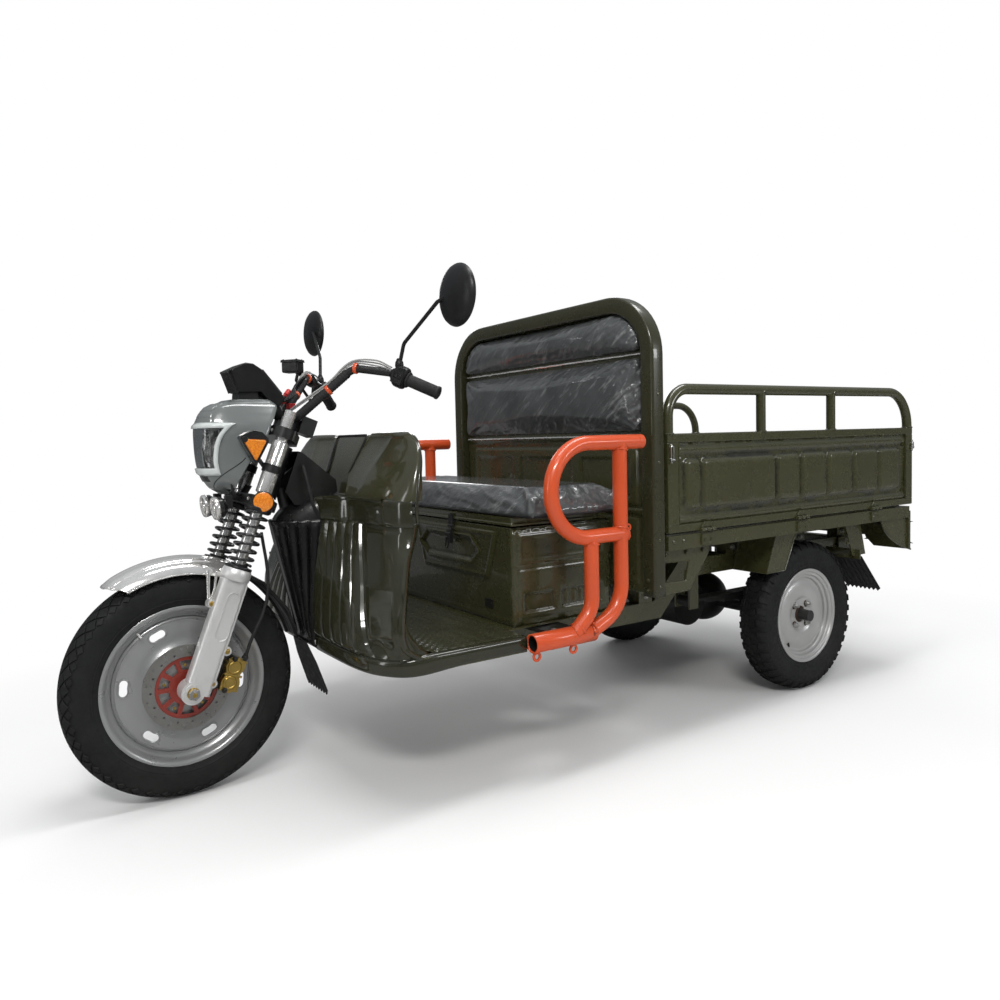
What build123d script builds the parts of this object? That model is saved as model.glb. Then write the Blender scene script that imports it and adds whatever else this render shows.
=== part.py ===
from build123d import *
import math
import os

# Electric cargo tricycle, millimetres. The vehicle faces -X, +Y is its right side, +Z is up.
# The origin is on the ground, at the middle of the whole vehicle's box.
os.makedirs("parts", exist_ok=True)

# ---- wheels ----
FRONT_AXLE_X = -1190.0
FRONT_TYRE_R = 302.0
FRONT_RIM_R = 203.0
REAR_AXLE_X = 892.0
REAR_TYRE_R = 267.0
REAR_RIM_R = 152.0
REAR_WHEEL_Y = 424.0

# ---- steering: a raked axis, with the fork legs ahead of it ----
RAKE_DEG = 21.6
AXIS_FOOT = (-1135.0, 0.0, 282.0)
LEG_N = -45.0
LEG_Y = 100.0
AXLE_N = -58.5
AXLE_S = -1.7
TUBE_R = 16.0
LOWER_CLAMP_S = 503.0
UPPER_CLAMP_S = 700.0
CLAMP_THICK = 28.0
HEAD_TUBE_S = 541.0
HEAD_TUBE_LENGTH = 153.0
BAR_CLAMP_N = -13.5
BAR_CLAMP_S = 769.2

# ---- left half of the handlebar's centre line ----
BAR_TUBE_R = 11.0
BAR_END = (-573.0, -350.0, 1061.0)
BAR_SWITCH = (-656.0, -251.0, 1120.0)
BAR_BEND = (-733.0, -172.0, 1138.0)
BAR_CLAMP_HALF = 62.0
MIRROR_R = 80.0

# ---- body heights and widths ----
FLOOR_Z = 398.0
SKIRT_Z = 360.0
FLOOR_HALF = 500.0
RAIL_Y = 300.0
RAIL_LOW_Z = 318.0
RAIL_HIGH_Z = 440.0
RAIL_DEPTH = 60.0
LINER_HALF = 326.0
SHELF_Z = 782.0
SEAT_SEAM_Z = 660.0
BACK_X = 50.0
BACK_DEPTH = 47.0
BACK_HALF = 533.0
BACK_TOP_Z = 1358.0
BACK_CORNER = 190.0
BED_X0 = 115.0
BED_X1 = 1480.0
BED_HALF = 528.0
BED_FLOOR_Z = 630.0
BED_FRAME_Z = 582.0
BOARD_TOP_Z = 932.0
BOARD_THICK = 28.0
RAILING_Z = 1071.0
RAILING_R = 13.0
BAR_Y = 524.0
BAR_R = 21.0

RAKE = math.radians(RAKE_DEG)
UP_AXIS = (math.sin(RAKE), 0.0, math.cos(RAKE))
BACK_AXIS = (math.cos(RAKE), 0.0, -math.sin(RAKE))
# local (n, y, s): n is rearwards from the steering axis, s is up along it
STEER = Plane(origin=AXIS_FOOT, x_dir=BACK_AXIS, z_dir=UP_AXIS)


# ---- helpers ----
def block(x0, x1, y0, y1, z0, z1):
    """Box between two corners."""
    return Pos((x0 + x1) / 2, (y0 + y1) / 2, (z0 + z1) / 2) * Box(x1 - x0, y1 - y0, z1 - z0)


def rod(start, end, radius):
    """Round bar from one point to another."""
    line = Vector(*end) - Vector(*start)
    place = Plane(origin=start, z_dir=line)
    return extrude(place * Circle(radius), line.length)


def ring_y(x, z, y0, y1, outer, inner):
    """Ring about an axis along Y."""
    place = Plane(origin=(x, y0, z), x_dir=(1, 0, 0), z_dir=(0, 1, 0))
    return extrude(place * (Circle(outer) - Circle(inner)), y1 - y0)


def disc_y(x, z, y0, y1, radius):
    """Disc about an axis along Y."""
    place = Plane(origin=(x, y0, z), x_dir=(1, 0, 0), z_dir=(0, 1, 0))
    return extrude(place * Circle(radius), y1 - y0)


def turned_y(x, z, profile):
    """Solid turned about the Y axis through (x, z), from (radius, y) points."""
    face = make_face(Polyline(*profile, close=True))
    return Pos(x, 0, z) * revolve(face, axis=Axis.Y)


def side_plate(points, y0, y1):
    """Plate cut to an outline in the XZ plane, from y0 to y1."""
    face = make_face(Polyline(*[(x, y1, z) for x, z in points], close=True))
    return extrude(face, amount=abs(y1 - y0), dir=(0, -1, 0))


def pipe(points, bends, radius):
    """Round tube, solid, along straight runs joined by tangent bends."""
    path = FilletPolyline(*points, radius=bends) if len(points) > 2 else Polyline(*points)
    start = path @ 0
    place = Plane(origin=start, z_dir=path % 0)
    return sweep(place * Circle(radius), path=path)


def on_right(shape):
    """The same piece on the vehicle's other side."""
    return mirror(shape, about=Plane.XZ)


def both_sides(shape):
    return [shape, on_right(shape)]


def steer(shape):
    """Moves a piece from the fork's own axes to its place on the vehicle."""
    return STEER.location * shape


def write(node, *shapes):
    """Writes one node as a STEP file."""
    solids = []
    for shape in shapes:
        solids.extend(shape.solids())
    part = solids[0] if len(solids) == 1 else Compound(children=solids)
    part.label = node
    export_step(part, f"parts/{node}.step")


# ---- front wheel ----
def front_tyre():
    crown = FRONT_TYRE_R
    bead = FRONT_RIM_R
    with BuildLine() as line:
        Spline((bead + 11, -40), (250, -50), (284, -40), (crown, 0), (284, 40), (250, 50), (bead + 11, 40),
               tangents=[(1, -0.6), (-1, -0.6)])
        Polyline((bead + 11, 40), (bead + 11, 35), (bead + 0.2, 35), (bead + 0.2, -35), (bead + 11, -35),
                 (bead + 11, -40))
    face = make_face(line.line)
    return Pos(FRONT_AXLE_X, 0, FRONT_TYRE_R) * revolve(face, axis=Axis.Y)


def kidney_holes(count, radius, width, sweep_deg, depth):
    """Kidney-shaped cutters spread evenly round the Y axis."""
    section = make_face(Polyline((radius - width / 2, -depth), (radius + width / 2, -depth),
                                 (radius + width / 2, depth), (radius - width / 2, depth), close=True))
    bar = revolve(section, axis=Axis.Y, revolution_arc=sweep_deg)
    cutter = bar
    for angle in (0, -math.radians(sweep_deg)):
        cutter = cutter + disc_y(radius * math.cos(angle), radius * math.sin(angle), -depth, depth, width / 2)
    return [Rot(0, 360.0 / count * i, 0) * cutter for i in range(count)]


def front_rim():
    outer = FRONT_RIM_R
    # barrel with two flanges, turned, then the dished disc and the hub
    barrel = [(outer, -35.5), (outer + 10, -39.5), (outer + 10, -44), (outer + 4, -44), (outer - 4, -38),
              (outer - 5, -30), (outer - 22, -16), (outer - 22, 16), (outer - 5, 30), (outer - 4, 38),
              (outer + 4, 44), (outer + 10, 44), (outer + 10, 39.5), (outer, 35.5), (outer, 31),
              (outer - 18, 14), (outer - 18, -14), (outer, -31)]
    rim = turned_y(0, 0, barrel)
    dish = [(outer - 20, -10), (outer - 20, -14), (168, -24), (118, -24), (96, -34), (52, -36), (40, -36),
            (40, -31), (96, -29), (118, -19), (166, -19)]
    disc = turned_y(0, 0, dish)
    for cutter in kidney_holes(6, 157, 22, 15, 60):
        disc = disc - cutter
    hub = turned_y(0, 0, [(11.6, -52), (36, -52), (42, -36), (42, 30), (34, 50), (11.6, 50)])
    return Pos(FRONT_AXLE_X, 0, FRONT_TYRE_R) * (rim + disc + hub)


def brake_disc():
    """Perforated steel ring on a ten-armed carrier that bolts to the hub's face."""
    ring = ring_y(0, 0, -60, -56, 113, 82)
    for i in range(30):
        angle = math.radians(12 * i)
        radius = 92 if i % 2 else 104
        ring = ring - disc_y(radius * math.cos(angle), radius * math.sin(angle), -62, -54, 3)
    carrier = ring_y(0, 0, -57, -52.2, 84, 72) + ring_y(0, 0, -57, -52.2, 46, 20)
    for i in range(10):
        angle = math.radians(36 * i)
        place = Plane(origin=(0, -57, 0), x_dir=(math.cos(angle), 0, math.sin(angle)), z_dir=(0, -1, 0))
        carrier = carrier + place.location * block(40, 78, -6, 6, -4.8, 0)
    return Pos(FRONT_AXLE_X, 0, FRONT_TYRE_R) * (ring + carrier)


# ---- rear wheels, made for the left side ----
def rear_tyre():
    crown = REAR_TYRE_R
    bead = REAR_RIM_R
    with BuildLine() as line:
        Spline((bead + 17, -42), (212, -54), (252, -45), (crown, 0), (252, 45), (212, 54), (bead + 17, 42),
               tangents=[(1, -0.6), (-1, -0.6)])
        Polyline((bead + 17, 42), (bead + 17, 37), (bead + 0.2, 37), (bead + 0.2, -37), (bead + 17, -37),
                 (bead + 17, -42))
    face = make_face(line.line)
    return Pos(REAR_AXLE_X, -REAR_WHEEL_Y, REAR_TYRE_R) * revolve(face, axis=Axis.Y)


def rear_rim():
    outer = REAR_RIM_R
    barrel = [(outer, -37.5), (outer + 16, -42), (outer + 16, -46), (outer + 8, -46), (outer - 4, -38),
              (outer - 5, -30), (outer - 22, -18), (outer - 22, 18), (outer - 5, 30), (outer - 4, 38),
              (outer + 8, 46), (outer + 16, 46), (outer + 16, 42), (outer, 37.5), (outer, 31),
              (outer - 18, 15), (outer - 18, -15), (outer, -31)]
    rim = turned_y(0, 0, barrel)
    dish = [(outer - 20, -10), (outer - 20, -15), (112, -22), (84, -22), (62, -14), (28, -14), (28, -9),
            (62, -9), (86, -17), (112, -17)]
    disc = turned_y(0, 0, dish)
    hub = turned_y(0, 0, [(20.05, -52), (30, -52), (34, -30), (34, 12), (80, 12), (80, 56), (20.05, 56)])
    return Pos(REAR_AXLE_X, -REAR_WHEEL_Y, REAR_TYRE_R) * (rim + disc + hub)


# ---- rear axle and springs ----
def rear_axle():
    tube = disc_y(0, 0, -350, 350, 32)
    stub = disc_y(0, 0, -(REAR_WHEEL_Y + 58), REAR_WHEEL_Y + 58, 20)
    housing = Sphere(98)
    plates = disc_y(0, 0, -362, -350, 84) + disc_y(0, 0, 350, 362, 84)
    pads = block(-45, 45, -325, -275, 20, 44) + block(-45, 45, 275, 325, 20, 44)
    return Pos(REAR_AXLE_X, 0, REAR_TYRE_R) * (tube + stub + housing + plates + pads)


def motor():
    # round drive motor, ahead of the differential
    return disc_y(REAR_AXLE_X - 198, REAR_TYRE_R + 12, -105, 105, 86)


def leaf_spring():
    """Five-leaf spring over the left axle end, with its eyes."""
    pack = None
    for i in range(5):
        half = 430 - 80 * i
        z = REAR_TYRE_R + 44 + 9 * (4 - i)
        leaf = block(REAR_AXLE_X - half, REAR_AXLE_X + half, -RAIL_Y - 25, -RAIL_Y + 25, z, z + 9)
        pack = leaf if pack is None else pack + leaf
    top = REAR_TYRE_R + 44 + 45
    for x in (REAR_AXLE_X - 440, REAR_AXLE_X + 440):
        pack = pack + disc_y(x, top - 4, -RAIL_Y - 25, -RAIL_Y + 25, 20)
    return pack


# ---- chassis ----
def chassis_frame():
    """Welded ladder frame: two rails that rise over the rear axle, cross tubes and spring hangers."""
    low, high, deep = RAIL_LOW_Z, RAIL_HIGH_Z, RAIL_DEPTH
    rail = side_plate([(-700, low), (300, low), (424, high), (1440, high), (1440, high + deep),
                       (394, high + deep), (270, low + deep), (-700, low + deep)], -RAIL_Y - 22, -RAIL_Y + 22)
    eye_z = REAR_TYRE_R + 85
    for x, top in ((REAR_AXLE_X - 440, high + 2), (REAR_AXLE_X + 440, high + 40)):
        for y in (-RAIL_Y - 34, -RAIL_Y + 26):
            rail = rail + block(x - 22, x + 22, y, y + 8, eye_z - 24, top + 20)
        rail = rail + block(x - 22, x + 22, -RAIL_Y - 34, -RAIL_Y + 34, top, top + 20)
    frame = rail + on_right(rail)
    for x in (-680, -300, 60):
        frame = frame + block(x - 20, x + 20, -RAIL_Y, RAIL_Y, low + 4, low + deep - 6)
    for x in (560, 1060, 1390):
        frame = frame + block(x - 20, x + 20, -RAIL_Y, RAIL_Y, high + 6, high + deep - 6)
    return frame


def head_frame():
    """Head tube, the spine tube behind it, the front down tube and their foot plate."""
    head = extrude(Plane.XY.offset(HEAD_TUBE_S) * (Circle(28) - Circle(13.05)), HEAD_TUBE_LENGTH)
    spine = pipe([(-846, 0, 850), (-768, 0, 790), (-768, 0, 392)], 50, 18)
    down = rod((-893, 0, 810), (-806, 0, 380), 16)
    gusset = side_plate([(-905, 830), (-852, 868), (-775, 800), (-790, 770), (-890, 775)], -6, 6)
    room = extrude(Plane.XY.offset(LOWER_CLAMP_S) * Circle(27), 240)
    foot = block(-822, -690, -RAIL_Y, RAIL_Y, RAIL_LOW_Z + RAIL_DEPTH + 0.2, 394)
    return (spine + down + gusset - steer(room)) + steer(head) + foot


def neck_cover():
    """Folded cover over the tubes behind the head tube, open in front and below."""
    outline = [(-896, 800), (-853, 912), (-842, 909), (-741, 826), (-737, 792), (-790, 760), (-870, 760)]
    inner = [(-920, 740), (-870, 912), (-842, 905), (-744, 824), (-741, 792), (-741, 740)]
    return side_plate(outline, -48, 48) - side_plate(inner, -45, 45)


def neck_cable():
    """Cable loom from the neck down to the hole in the shelf."""
    points = [(-846, -60, 872), (-842, -74, 832), (-836, -82, 792), (-828, -84, 756), (-812, -80, 728)]
    return pipe(points, [60, 70, 60], 5)


# ---- floor and cowl ----
COWL_WALL = 5.0
# front face of the cowl from its centre to its rear edge, as (x, y), at each height
COWL_LEVELS = [
    (352, [(-838, 0), (-838, 160), (-834, 300), (-798, 440), (-720, 488)]),
    (372, [(-838, 0), (-838, 160), (-833, 300), (-800, 442), (-736, 494)]),
    (450, [(-838, 0), (-836, 140), (-822, 320), (-798, 424), (-788, 496)]),
    (740, [(-796, 0), (-784, 110), (-752, 190), (-742, 404), (-706, 434)]),
    (SHELF_Z, [(-796, 0), (-784, 110), (-752, 190), (-740, 402), (-701, 434)]),
]
# left hump at each height, round its outline from the inner front corner
HUMP_LEVELS = [
    (SHELF_Z + 0.2, [(-745, 118), (-752, 203), (-738, 400), (-701, 436), (-664, 384), (-657, 118)]),
    (844, [(-714, 80), (-722, 218), (-702, 402), (-685, 425), (-655, 384), (-652, 80)]),
    (906, [(-680, 98), (-682, 243), (-677, 386), (-668, 411), (-645, 372), (-642, 98)]),
    (957, [(-662, 124), (-664, 262), (-660, 330), (-656, 346), (-640, 336), (-636, 124)]),
]


def level_face(points, z):
    return make_face(Polyline(*[(x, y, z) for x, y in points], close=True))


def leg_shield():
    """Front wall of the body, from the floor's lip to the shelf."""
    wall = None
    for (low_z, low), (high_z, high) in zip(COWL_LEVELS[:-1], COWL_LEVELS[1:]):
        faces = []
        for z, half in ((low_z, low), (high_z, high)):
            front = [(x, -y) for x, y in reversed(half)] + half[1:]
            back = [(x + COWL_WALL, y) for x, y in reversed(front)]
            faces.append(level_face(front + back, z))
        part = loft(faces, ruled=True)
        wall = part if wall is None else wall + part
    window = block(-960, -700, -96, 96, 376, 735)
    notch = block(-960, -700, -96, 96, 734, 800)
    return wall - window - notch


def cowl_top():
    """Upper cowl: two closed humps joined by the centre panel and the shelf before it."""
    hump = loft([level_face([(x, -y) for x, y in points], z) for z, points in HUMP_LEVELS], ruled=True)
    panel = side_plate([(-742, 782.2), (-712, 782.2), (-708, 838), (-660, 950), (-665, 950), (-713, 838),
                        (-716, 786), (-742, 786)], -124, 124)
    slot = block(-760, -734, -52, 52, 770, 800)
    return hump + on_right(hump) + (panel - slot)


def grille():
    """Black ribbed prow in the middle of the cowl."""
    low = [(-850, -22), (-846, -92), (-838, -92), (-842, -22), (-842, 22), (-838, 92), (-846, 92), (-850, 22)]
    high = [(-930, -22), (-806, -92), (-798, -92), (-920, -22), (-920, 22), (-798, 92), (-806, 92), (-930, 22)]
    return loft([level_face(low, 378), level_face(high, 716)], ruled=True)


def liner():
    """Rider-side wall of the cowl."""
    return side_plate([(-742, 402), (-736, 402), (-659, 781), (-665, 781)], -LINER_HALF, LINER_HALF)


def floor_pan():
    """Floor with side skirts; its outer wings run forward past the cowl's inner wall."""
    pan = block(-735.5, 20, -LINER_HALF, LINER_HALF, FLOOR_Z - 3.8, FLOOR_Z)
    for side in (-1, 1):
        inner = side * LINER_HALF
        for x0, x1, outer in ((-772, -403, FLOOR_HALF), (-403, 20, 400)):
            y0, y1 = sorted((inner, side * outer))
            pan = pan + block(x0, x1, y0, y1, FLOOR_Z - 3.8, FLOOR_Z)
        y0, y1 = sorted((side * FLOOR_HALF, side * (FLOOR_HALF - 4)))
        pan = pan + block(-700, -403, y0, y1, SKIRT_Z, FLOOR_Z - 2)
    corner = level_face([(-772.1, 440), (-720, 501), (-772.1, 501)], FLOOR_Z - 5)
    cutter = extrude(corner, 8)
    return pan - cutter - on_right(cutter)


def brake_pedal():
    """Foot brake: a treadle on a bent arm, on the floor's right side."""
    arm = pipe([(-640, 250, 399), (-640, 250, 440), (-602, 250, 470)], 22, 7)
    tread = Box(16, 74, 50)
    tread = fillet(tread.edges().filter_by(Axis.X), 10)
    return arm + Pos(-594, 250, 472) * Rot(0, 40, 0) * tread


# ---- seat box, seat and backrest ----
def seat_box():
    outer = block(-360, 10, -385, 385, FLOOR_Z + 0.2, SEAT_SEAM_Z - 4)
    inner = block(-356, 6, -381, 381, FLOOR_Z + 4, 700)
    door = block(-363, -359, -300, 300, 430, 626)
    return outer - inner + fillet(door.edges().filter_by(Axis.X), 30)


def battery():
    return block(-330, -40, -300, 300, FLOOR_Z + 4.4, 600)


def seat_lid():
    """Folded lid with the two hinge rolls at its rear edge."""
    outer = block(-366, 0, -391, 391, SEAT_SEAM_Z, 712)
    inner = block(-362, -4, -387, 387, 650, 708)
    roll = rod((3, -310, SEAT_SEAM_Z + 1), (3, -230, SEAT_SEAM_Z + 1), 4)
    return outer - inner + roll + on_right(roll)


def seat_cushion():
    pad = block(-373, -25, -494, 494, 712.4, 792)
    return fillet(pad.edges().group_by(Axis.Z)[-1], 24)


def seat_latch():
    return block(-380, -369, -96, -66, 606, 690) + block(-369, -366.2, -96, -66, 664, 690)


def arch(x0, x1, half, z0, z1, corner):
    """Upright plate with rounded top corners."""
    plate = block(x0, x1, -half, half, z0, z1)
    return fillet(plate.edges().filter_by(Axis.X).group_by(Axis.Z)[-1], corner)


def backrest_frame():
    """Pressed panel with a deep edge channel, rounded at its top corners, open behind."""
    x0, x1 = BACK_X, BACK_X + BACK_DEPTH
    flange = 50
    plate = arch(x0, x1, BACK_HALF, 450, BACK_TOP_Z, BACK_CORNER)
    recess = arch(x0 - 1, x0 + 34, BACK_HALF - flange, 700, BACK_TOP_Z - 36, BACK_CORNER - flange)
    lower = block(x0 - 1, x0 + 34, -BACK_HALF + flange, BACK_HALF - flange, 440, 680)
    hollow = arch(x0 + 38, x1 + 1, BACK_HALF - 4, 440, BACK_TOP_Z - 4, BACK_CORNER - 4)
    return plate - recess - lower - hollow


def backrest_cushion(z0, z1, half, corner):
    pad = block(BACK_X - 12, BACK_X + 33.6, -half, half, z0, z1)
    pad = fillet(pad.edges().filter_by(Axis.X).group_by(Axis.Z)[-1], corner)
    return fillet(pad.edges().group_by(Axis.X)[0], 16)


# ---- guard bars, left side ----
def guard_bar():
    """Closed loop beside the seat on two bent posts, with a wider foot tube and lashing eyes."""
    y = -BAR_Y
    foot_r = 26
    loop = pipe([(8, y, 914), (-330, y, 914), (-330, y, 653), (-60, y, 653)], 129, BAR_R)
    post = pipe([(-77, y, 914), (-77, y, 440), (-210, y, 378)], 110, BAR_R)
    second = pipe([(-190, y, 653), (-190, y, 450), (-262, y, 385)], 80, BAR_R)
    foot = rod((-402, y + 5, 385), (-185, y + 5, 385), foot_r)
    bore = rod((-403, y + 5, 385), (-300, y + 5, 385), foot_r - 4)
    bracket = block(-300, -200, y + 8, -RAIL_Y, RAIL_LOW_Z + RAIL_DEPTH + 0.2, 392)
    bar = loop + post + second + (foot - bore) + bracket
    for x in (-386, -258):
        bar = bar + ring_y(x, 348, y + 2, y + 8, 14, 7)
    return bar + ring_y(-47, 668, y - 3, y + 3, 11, 6)


# ---- bed ----
def bed_floor():
    """Load floor on a welded frame; the sheet stops short of the boards round it."""
    x0, x1 = BED_X0, BED_X1 - 14
    deck = block(x0 + BOARD_THICK + 1, x1 - 8, -BED_HALF + BOARD_THICK + 8, BED_HALF - BOARD_THICK - 8,
                 BED_FLOOR_Z - 5, BED_FLOOR_Z)
    for side in (-1, 1):
        y0, y1 = sorted((side * BED_HALF, side * (BED_HALF - 40)))
        deck = deck + block(x0, x1, y0, y1, BED_FRAME_Z, BED_FLOOR_Z - 4)
    for x in (x0, 440, 780, 1110, x1 - 40):
        deck = deck + block(x, x + 40, -BED_HALF + 30, BED_HALF - 30, BED_FRAME_Z, BED_FLOOR_Z - 4)
    for x in (284, 770, 1221):
        for side in (-1, 1):
            y0, y1 = sorted((side * BED_HALF, side * (BED_HALF + 6)))
            deck = deck + block(x - 26, x + 26, y0, y1, BED_FRAME_Z + 6, BED_FLOOR_Z - 8)
    return deck


def bed_supports():
    """Stands between the chassis and the bed, and the outer plates under its front corners."""
    pieces = []
    for x, low in ((200, RAIL_LOW_Z + RAIL_DEPTH), (640, RAIL_HIGH_Z + RAIL_DEPTH),
                   (1040, RAIL_HIGH_Z + RAIL_DEPTH), (1320, RAIL_HIGH_Z + RAIL_DEPTH)):
        stand = block(x, x + 60, -RAIL_Y - 22, -RAIL_Y + 22, low + 0.2, BED_FRAME_Z - 0.2)
        pieces.extend(both_sides(stand))
    plate = side_plate([(98, 448), (229, 450), (318, 558), (318, BED_FRAME_Z - 0.2), (98, BED_FRAME_Z - 0.2)],
                       -506, -500)
    window = side_plate([(112, 480), (216, 478), (232, 542), (112, 545)], -510, -496)
    pieces.extend(both_sides(plate - window))
    return pieces


def bed_front_board():
    board = block(BED_X0, BED_X0 + BOARD_THICK, -BED_HALF + 34, BED_HALF - 34, BED_FLOOR_Z - 3.8, BOARD_TOP_Z)
    cut = block(BED_X0 + BOARD_THICK - 10, BED_X0 + BOARD_THICK + 1, -440, 440, BED_FLOOR_Z + 50, BOARD_TOP_Z - 46)
    return board - cut


def side_board():
    """Left drop side with its top railing, hinge leaves and corner latches, one welded piece."""
    y0 = -BED_HALF
    y1 = y0 + BOARD_THICK
    outer = block(BED_X0 + 2, BED_X1 - 6, y0, y1, BED_FLOOR_Z + 4, BOARD_TOP_Z)
    cut = block(BED_X0 + 62, BED_X1 - 66, y0 - 1, y0 + 10, BED_FLOOR_Z + 54, BOARD_TOP_Z - 46)
    band = block(BED_X0 + 96, BED_X1 - 100, y0 + 2, y0 + 12, BED_FLOOR_Z + 98, BOARD_TOP_Z - 88)
    back = block(BED_X0 + 42, BED_X1 - 46, y1 - 12, y1 + 1, BED_FLOOR_Z + 34, BOARD_TOP_Z - 30)
    board = outer - cut - back + band
    rail_y = y0 + BOARD_THICK / 2
    rail = pipe([(BED_X0 + 16, rail_y, BOARD_TOP_Z - 6), (BED_X0 + 16, rail_y, RAILING_Z),
                 (BED_X1 - 18, rail_y, RAILING_Z), (BED_X1 - 18, rail_y, BOARD_TOP_Z - 6)], [85, 130], RAILING_R)
    board = board + rail
    for x in (573, 965):
        board = board + rod((x, rail_y, BOARD_TOP_Z - 6), (x, rail_y, RAILING_Z), RAILING_R - 1)
    for x in (284, 770, 1221):
        board = board + block(x - 30, x + 30, y0 - 8, y0 + 1, BED_FLOOR_Z + 4, BED_FLOOR_Z + 60)
        board = board + rod((x - 30, y0 - 8, BED_FLOOR_Z + 6), (x + 30, y0 - 8, BED_FLOOR_Z + 6), 4)
    board = board + block(BED_X0 + 3, BED_X0 + 24, y0 - 7, y0 + 1, 842, 904)
    return board + block(BED_X1 - 7, BED_X1 + 9, y0 + 4, y0 + 20, 842, 884)


def tailgate():
    x1 = BED_X1 + 6
    x0 = x1 - BOARD_THICK
    half = BED_HALF - BOARD_THICK - 6
    outer = block(x0, x1, -half, half, BED_FLOOR_Z + 4, BOARD_TOP_Z)
    cut = block(x1 - 10, x1 + 1, -half + 50, half - 50, BED_FLOOR_Z + 54, BOARD_TOP_Z - 46)
    band = block(x1 - 12, x1 - 3, -half + 110, half - 110, BED_FLOOR_Z + 92, BOARD_TOP_Z - 84)
    back = block(x0 - 1, x0 + 12, -half + 34, half - 34, BED_FLOOR_Z + 34, BOARD_TOP_Z - 30)
    gate = outer - cut - back + band
    for y in (-330, 0, 330):
        gate = gate + block(x1 - 1, x1 + 6, y - 30, y + 30, BED_FLOOR_Z + 6, BED_FLOOR_Z + 60)
        gate = gate + rod((x1 + 2, y - 30, BED_FLOOR_Z + 6), (x1 + 2, y + 30, BED_FLOOR_Z + 6), 4)
    return gate


def rear_bumper():
    """Rear cross bar under the bed, with end plates that carry the lamps."""
    bumper = block(1424, 1464, -BED_HALF + 20, BED_HALF - 20, 505, 555)
    plate = [(-BED_HALF, BED_FRAME_Z - 2), (-BED_HALF, 458), (-390, 458), (-356, 492), (-330, BED_FRAME_Z - 2)]
    face = make_face(Polyline(*[(1462, y, z) for y, z in plate], close=True))
    end = extrude(face, amount=12, dir=(1, 0, 0))
    arm = block(1390, 1426, -RAIL_Y - 20, -RAIL_Y + 20, RAIL_HIGH_Z + RAIL_DEPTH + 0.2, 555)
    for piece in both_sides(end) + both_sides(arm):
        bumper = bumper + piece
    return bumper


def tail_lamps():
    lamp = block(1474.2, 1490, -BED_HALF + 12, -BED_HALF + 172, 478, 566)
    return both_sides(fillet(lamp.edges().filter_by(Axis.X), 14))


def mudguard():
    """Left rear mudguard: a slanted front plate with its cheek, and the strap of the rear flap."""
    front = side_plate([(636, 448), (640, 448), (692, BED_FRAME_Z - 2), (688, BED_FRAME_Z - 2)], -486, -350)
    cheek = side_plate([(636, 448), (737, 448), (805, BED_FRAME_Z - 2), (688, BED_FRAME_Z - 2)], -486, -482)
    strap = side_plate([(1126, BED_FRAME_Z - 2), (1226, BED_FRAME_Z - 2), (1262, 453), (1178, 453)], -470, -466)
    crosspiece = block(1196, 1204, -486, -350, 440, 476)
    return [front + cheek, strap + crosspiece]


def mud_flap():
    return side_plate([(1204.2, 452), (1211, 452), (1352, 297), (1346, 293), (1204.2, 444)], -486, -350)


# ---- fork, in the fork's own axes ----
def fork_leg(y):
    """Cast lower leg with its axle boss, spring collar, oval recess and fender lug."""
    side = math.copysign(1, y)
    shank = extrude(Plane.XY.offset(-4) * Pos(LEG_N, y) * RectangleRounded(70, 48, 16), 316)
    recess = Pos(LEG_N + 8, y + 24 * side, 205) * Rot(90, 0, 0) * extrude(SlotOverall(130, 34, 90), 3, both=True)
    collar = extrude(Plane.XY.offset(308) * Pos(LEG_N, y) * Circle(37), 22)
    boss = Pos(AXLE_N, y, AXLE_S) * Rot(90, 0, 0) * Cylinder(30, 48)
    lug = Pos(LEG_N - 36, y - 11 * side, 226) * Rot(90, 0, 0) * Cylinder(11, 26)
    ears = Pos(LEG_N + 40, y + 4 * side, 118) * Rot(90, 0, 0) * Cylinder(12, 20)
    ears = ears + Pos(LEG_N + 30, y + 4 * side, 30) * Rot(90, 0, 0) * Cylinder(13, 20)
    bore = Pos(AXLE_N, y, AXLE_S) * Rot(90, 0, 0) * Cylinder(10, 80)
    return shank - recess + collar + boss + lug + ears - bore


def fork_tube(y):
    return extrude(Plane.XY.offset(330.2) * Pos(LEG_N, y) * Circle(TUBE_R), 448)


def fork_spring(y):
    sleeve = Circle(35) - Circle(TUBE_R + 1)
    return extrude(Plane.XY.offset(334) * Pos(LEG_N, y) * sleeve, LOWER_CLAMP_S - 338)


def clamps():
    """Lower and upper triple clamps with the stem, the bar riser and the lock housing behind it."""
    made = []
    for s in (LOWER_CLAMP_S, UPPER_CLAMP_S):
        plate = Polygon((-75, -100), (-20, -124), (24, -40), (24, 40), (-20, 124), (-75, 100), align=None)
        body = extrude(Plane.XY.offset(s) * plate, CLAMP_THICK)
        for y in (-LEG_Y, LEG_Y):
            body = body + extrude(Plane.XY.offset(s) * Pos(LEG_N, y) * Circle(30), CLAMP_THICK)
            body = body - extrude(Plane.XY.offset(s - 1) * Pos(LEG_N, y) * Circle(TUBE_R), CLAMP_THICK + 2)
        made.append(body)
    stem = extrude(Plane.XY.offset(LOWER_CLAMP_S + 4) * Circle(13), 730 - LOWER_CLAMP_S)
    nut = extrude(Plane.XY.offset(UPPER_CLAMP_S + CLAMP_THICK) * Circle(20), 14)
    riser = Pos(BAR_CLAMP_N, 0, 759) * Box(44, 84, 62)
    lock = Pos(30, -40, 763) * Box(44, 44, 50)
    bar_hole = Pos(BAR_CLAMP_N, 0, BAR_CLAMP_S) * Rot(90, 0, 0) * Cylinder(BAR_TUBE_R + 0.05, 140)
    return made[0] + made[1] + stem + nut + (riser - bar_hole) + lock


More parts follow.
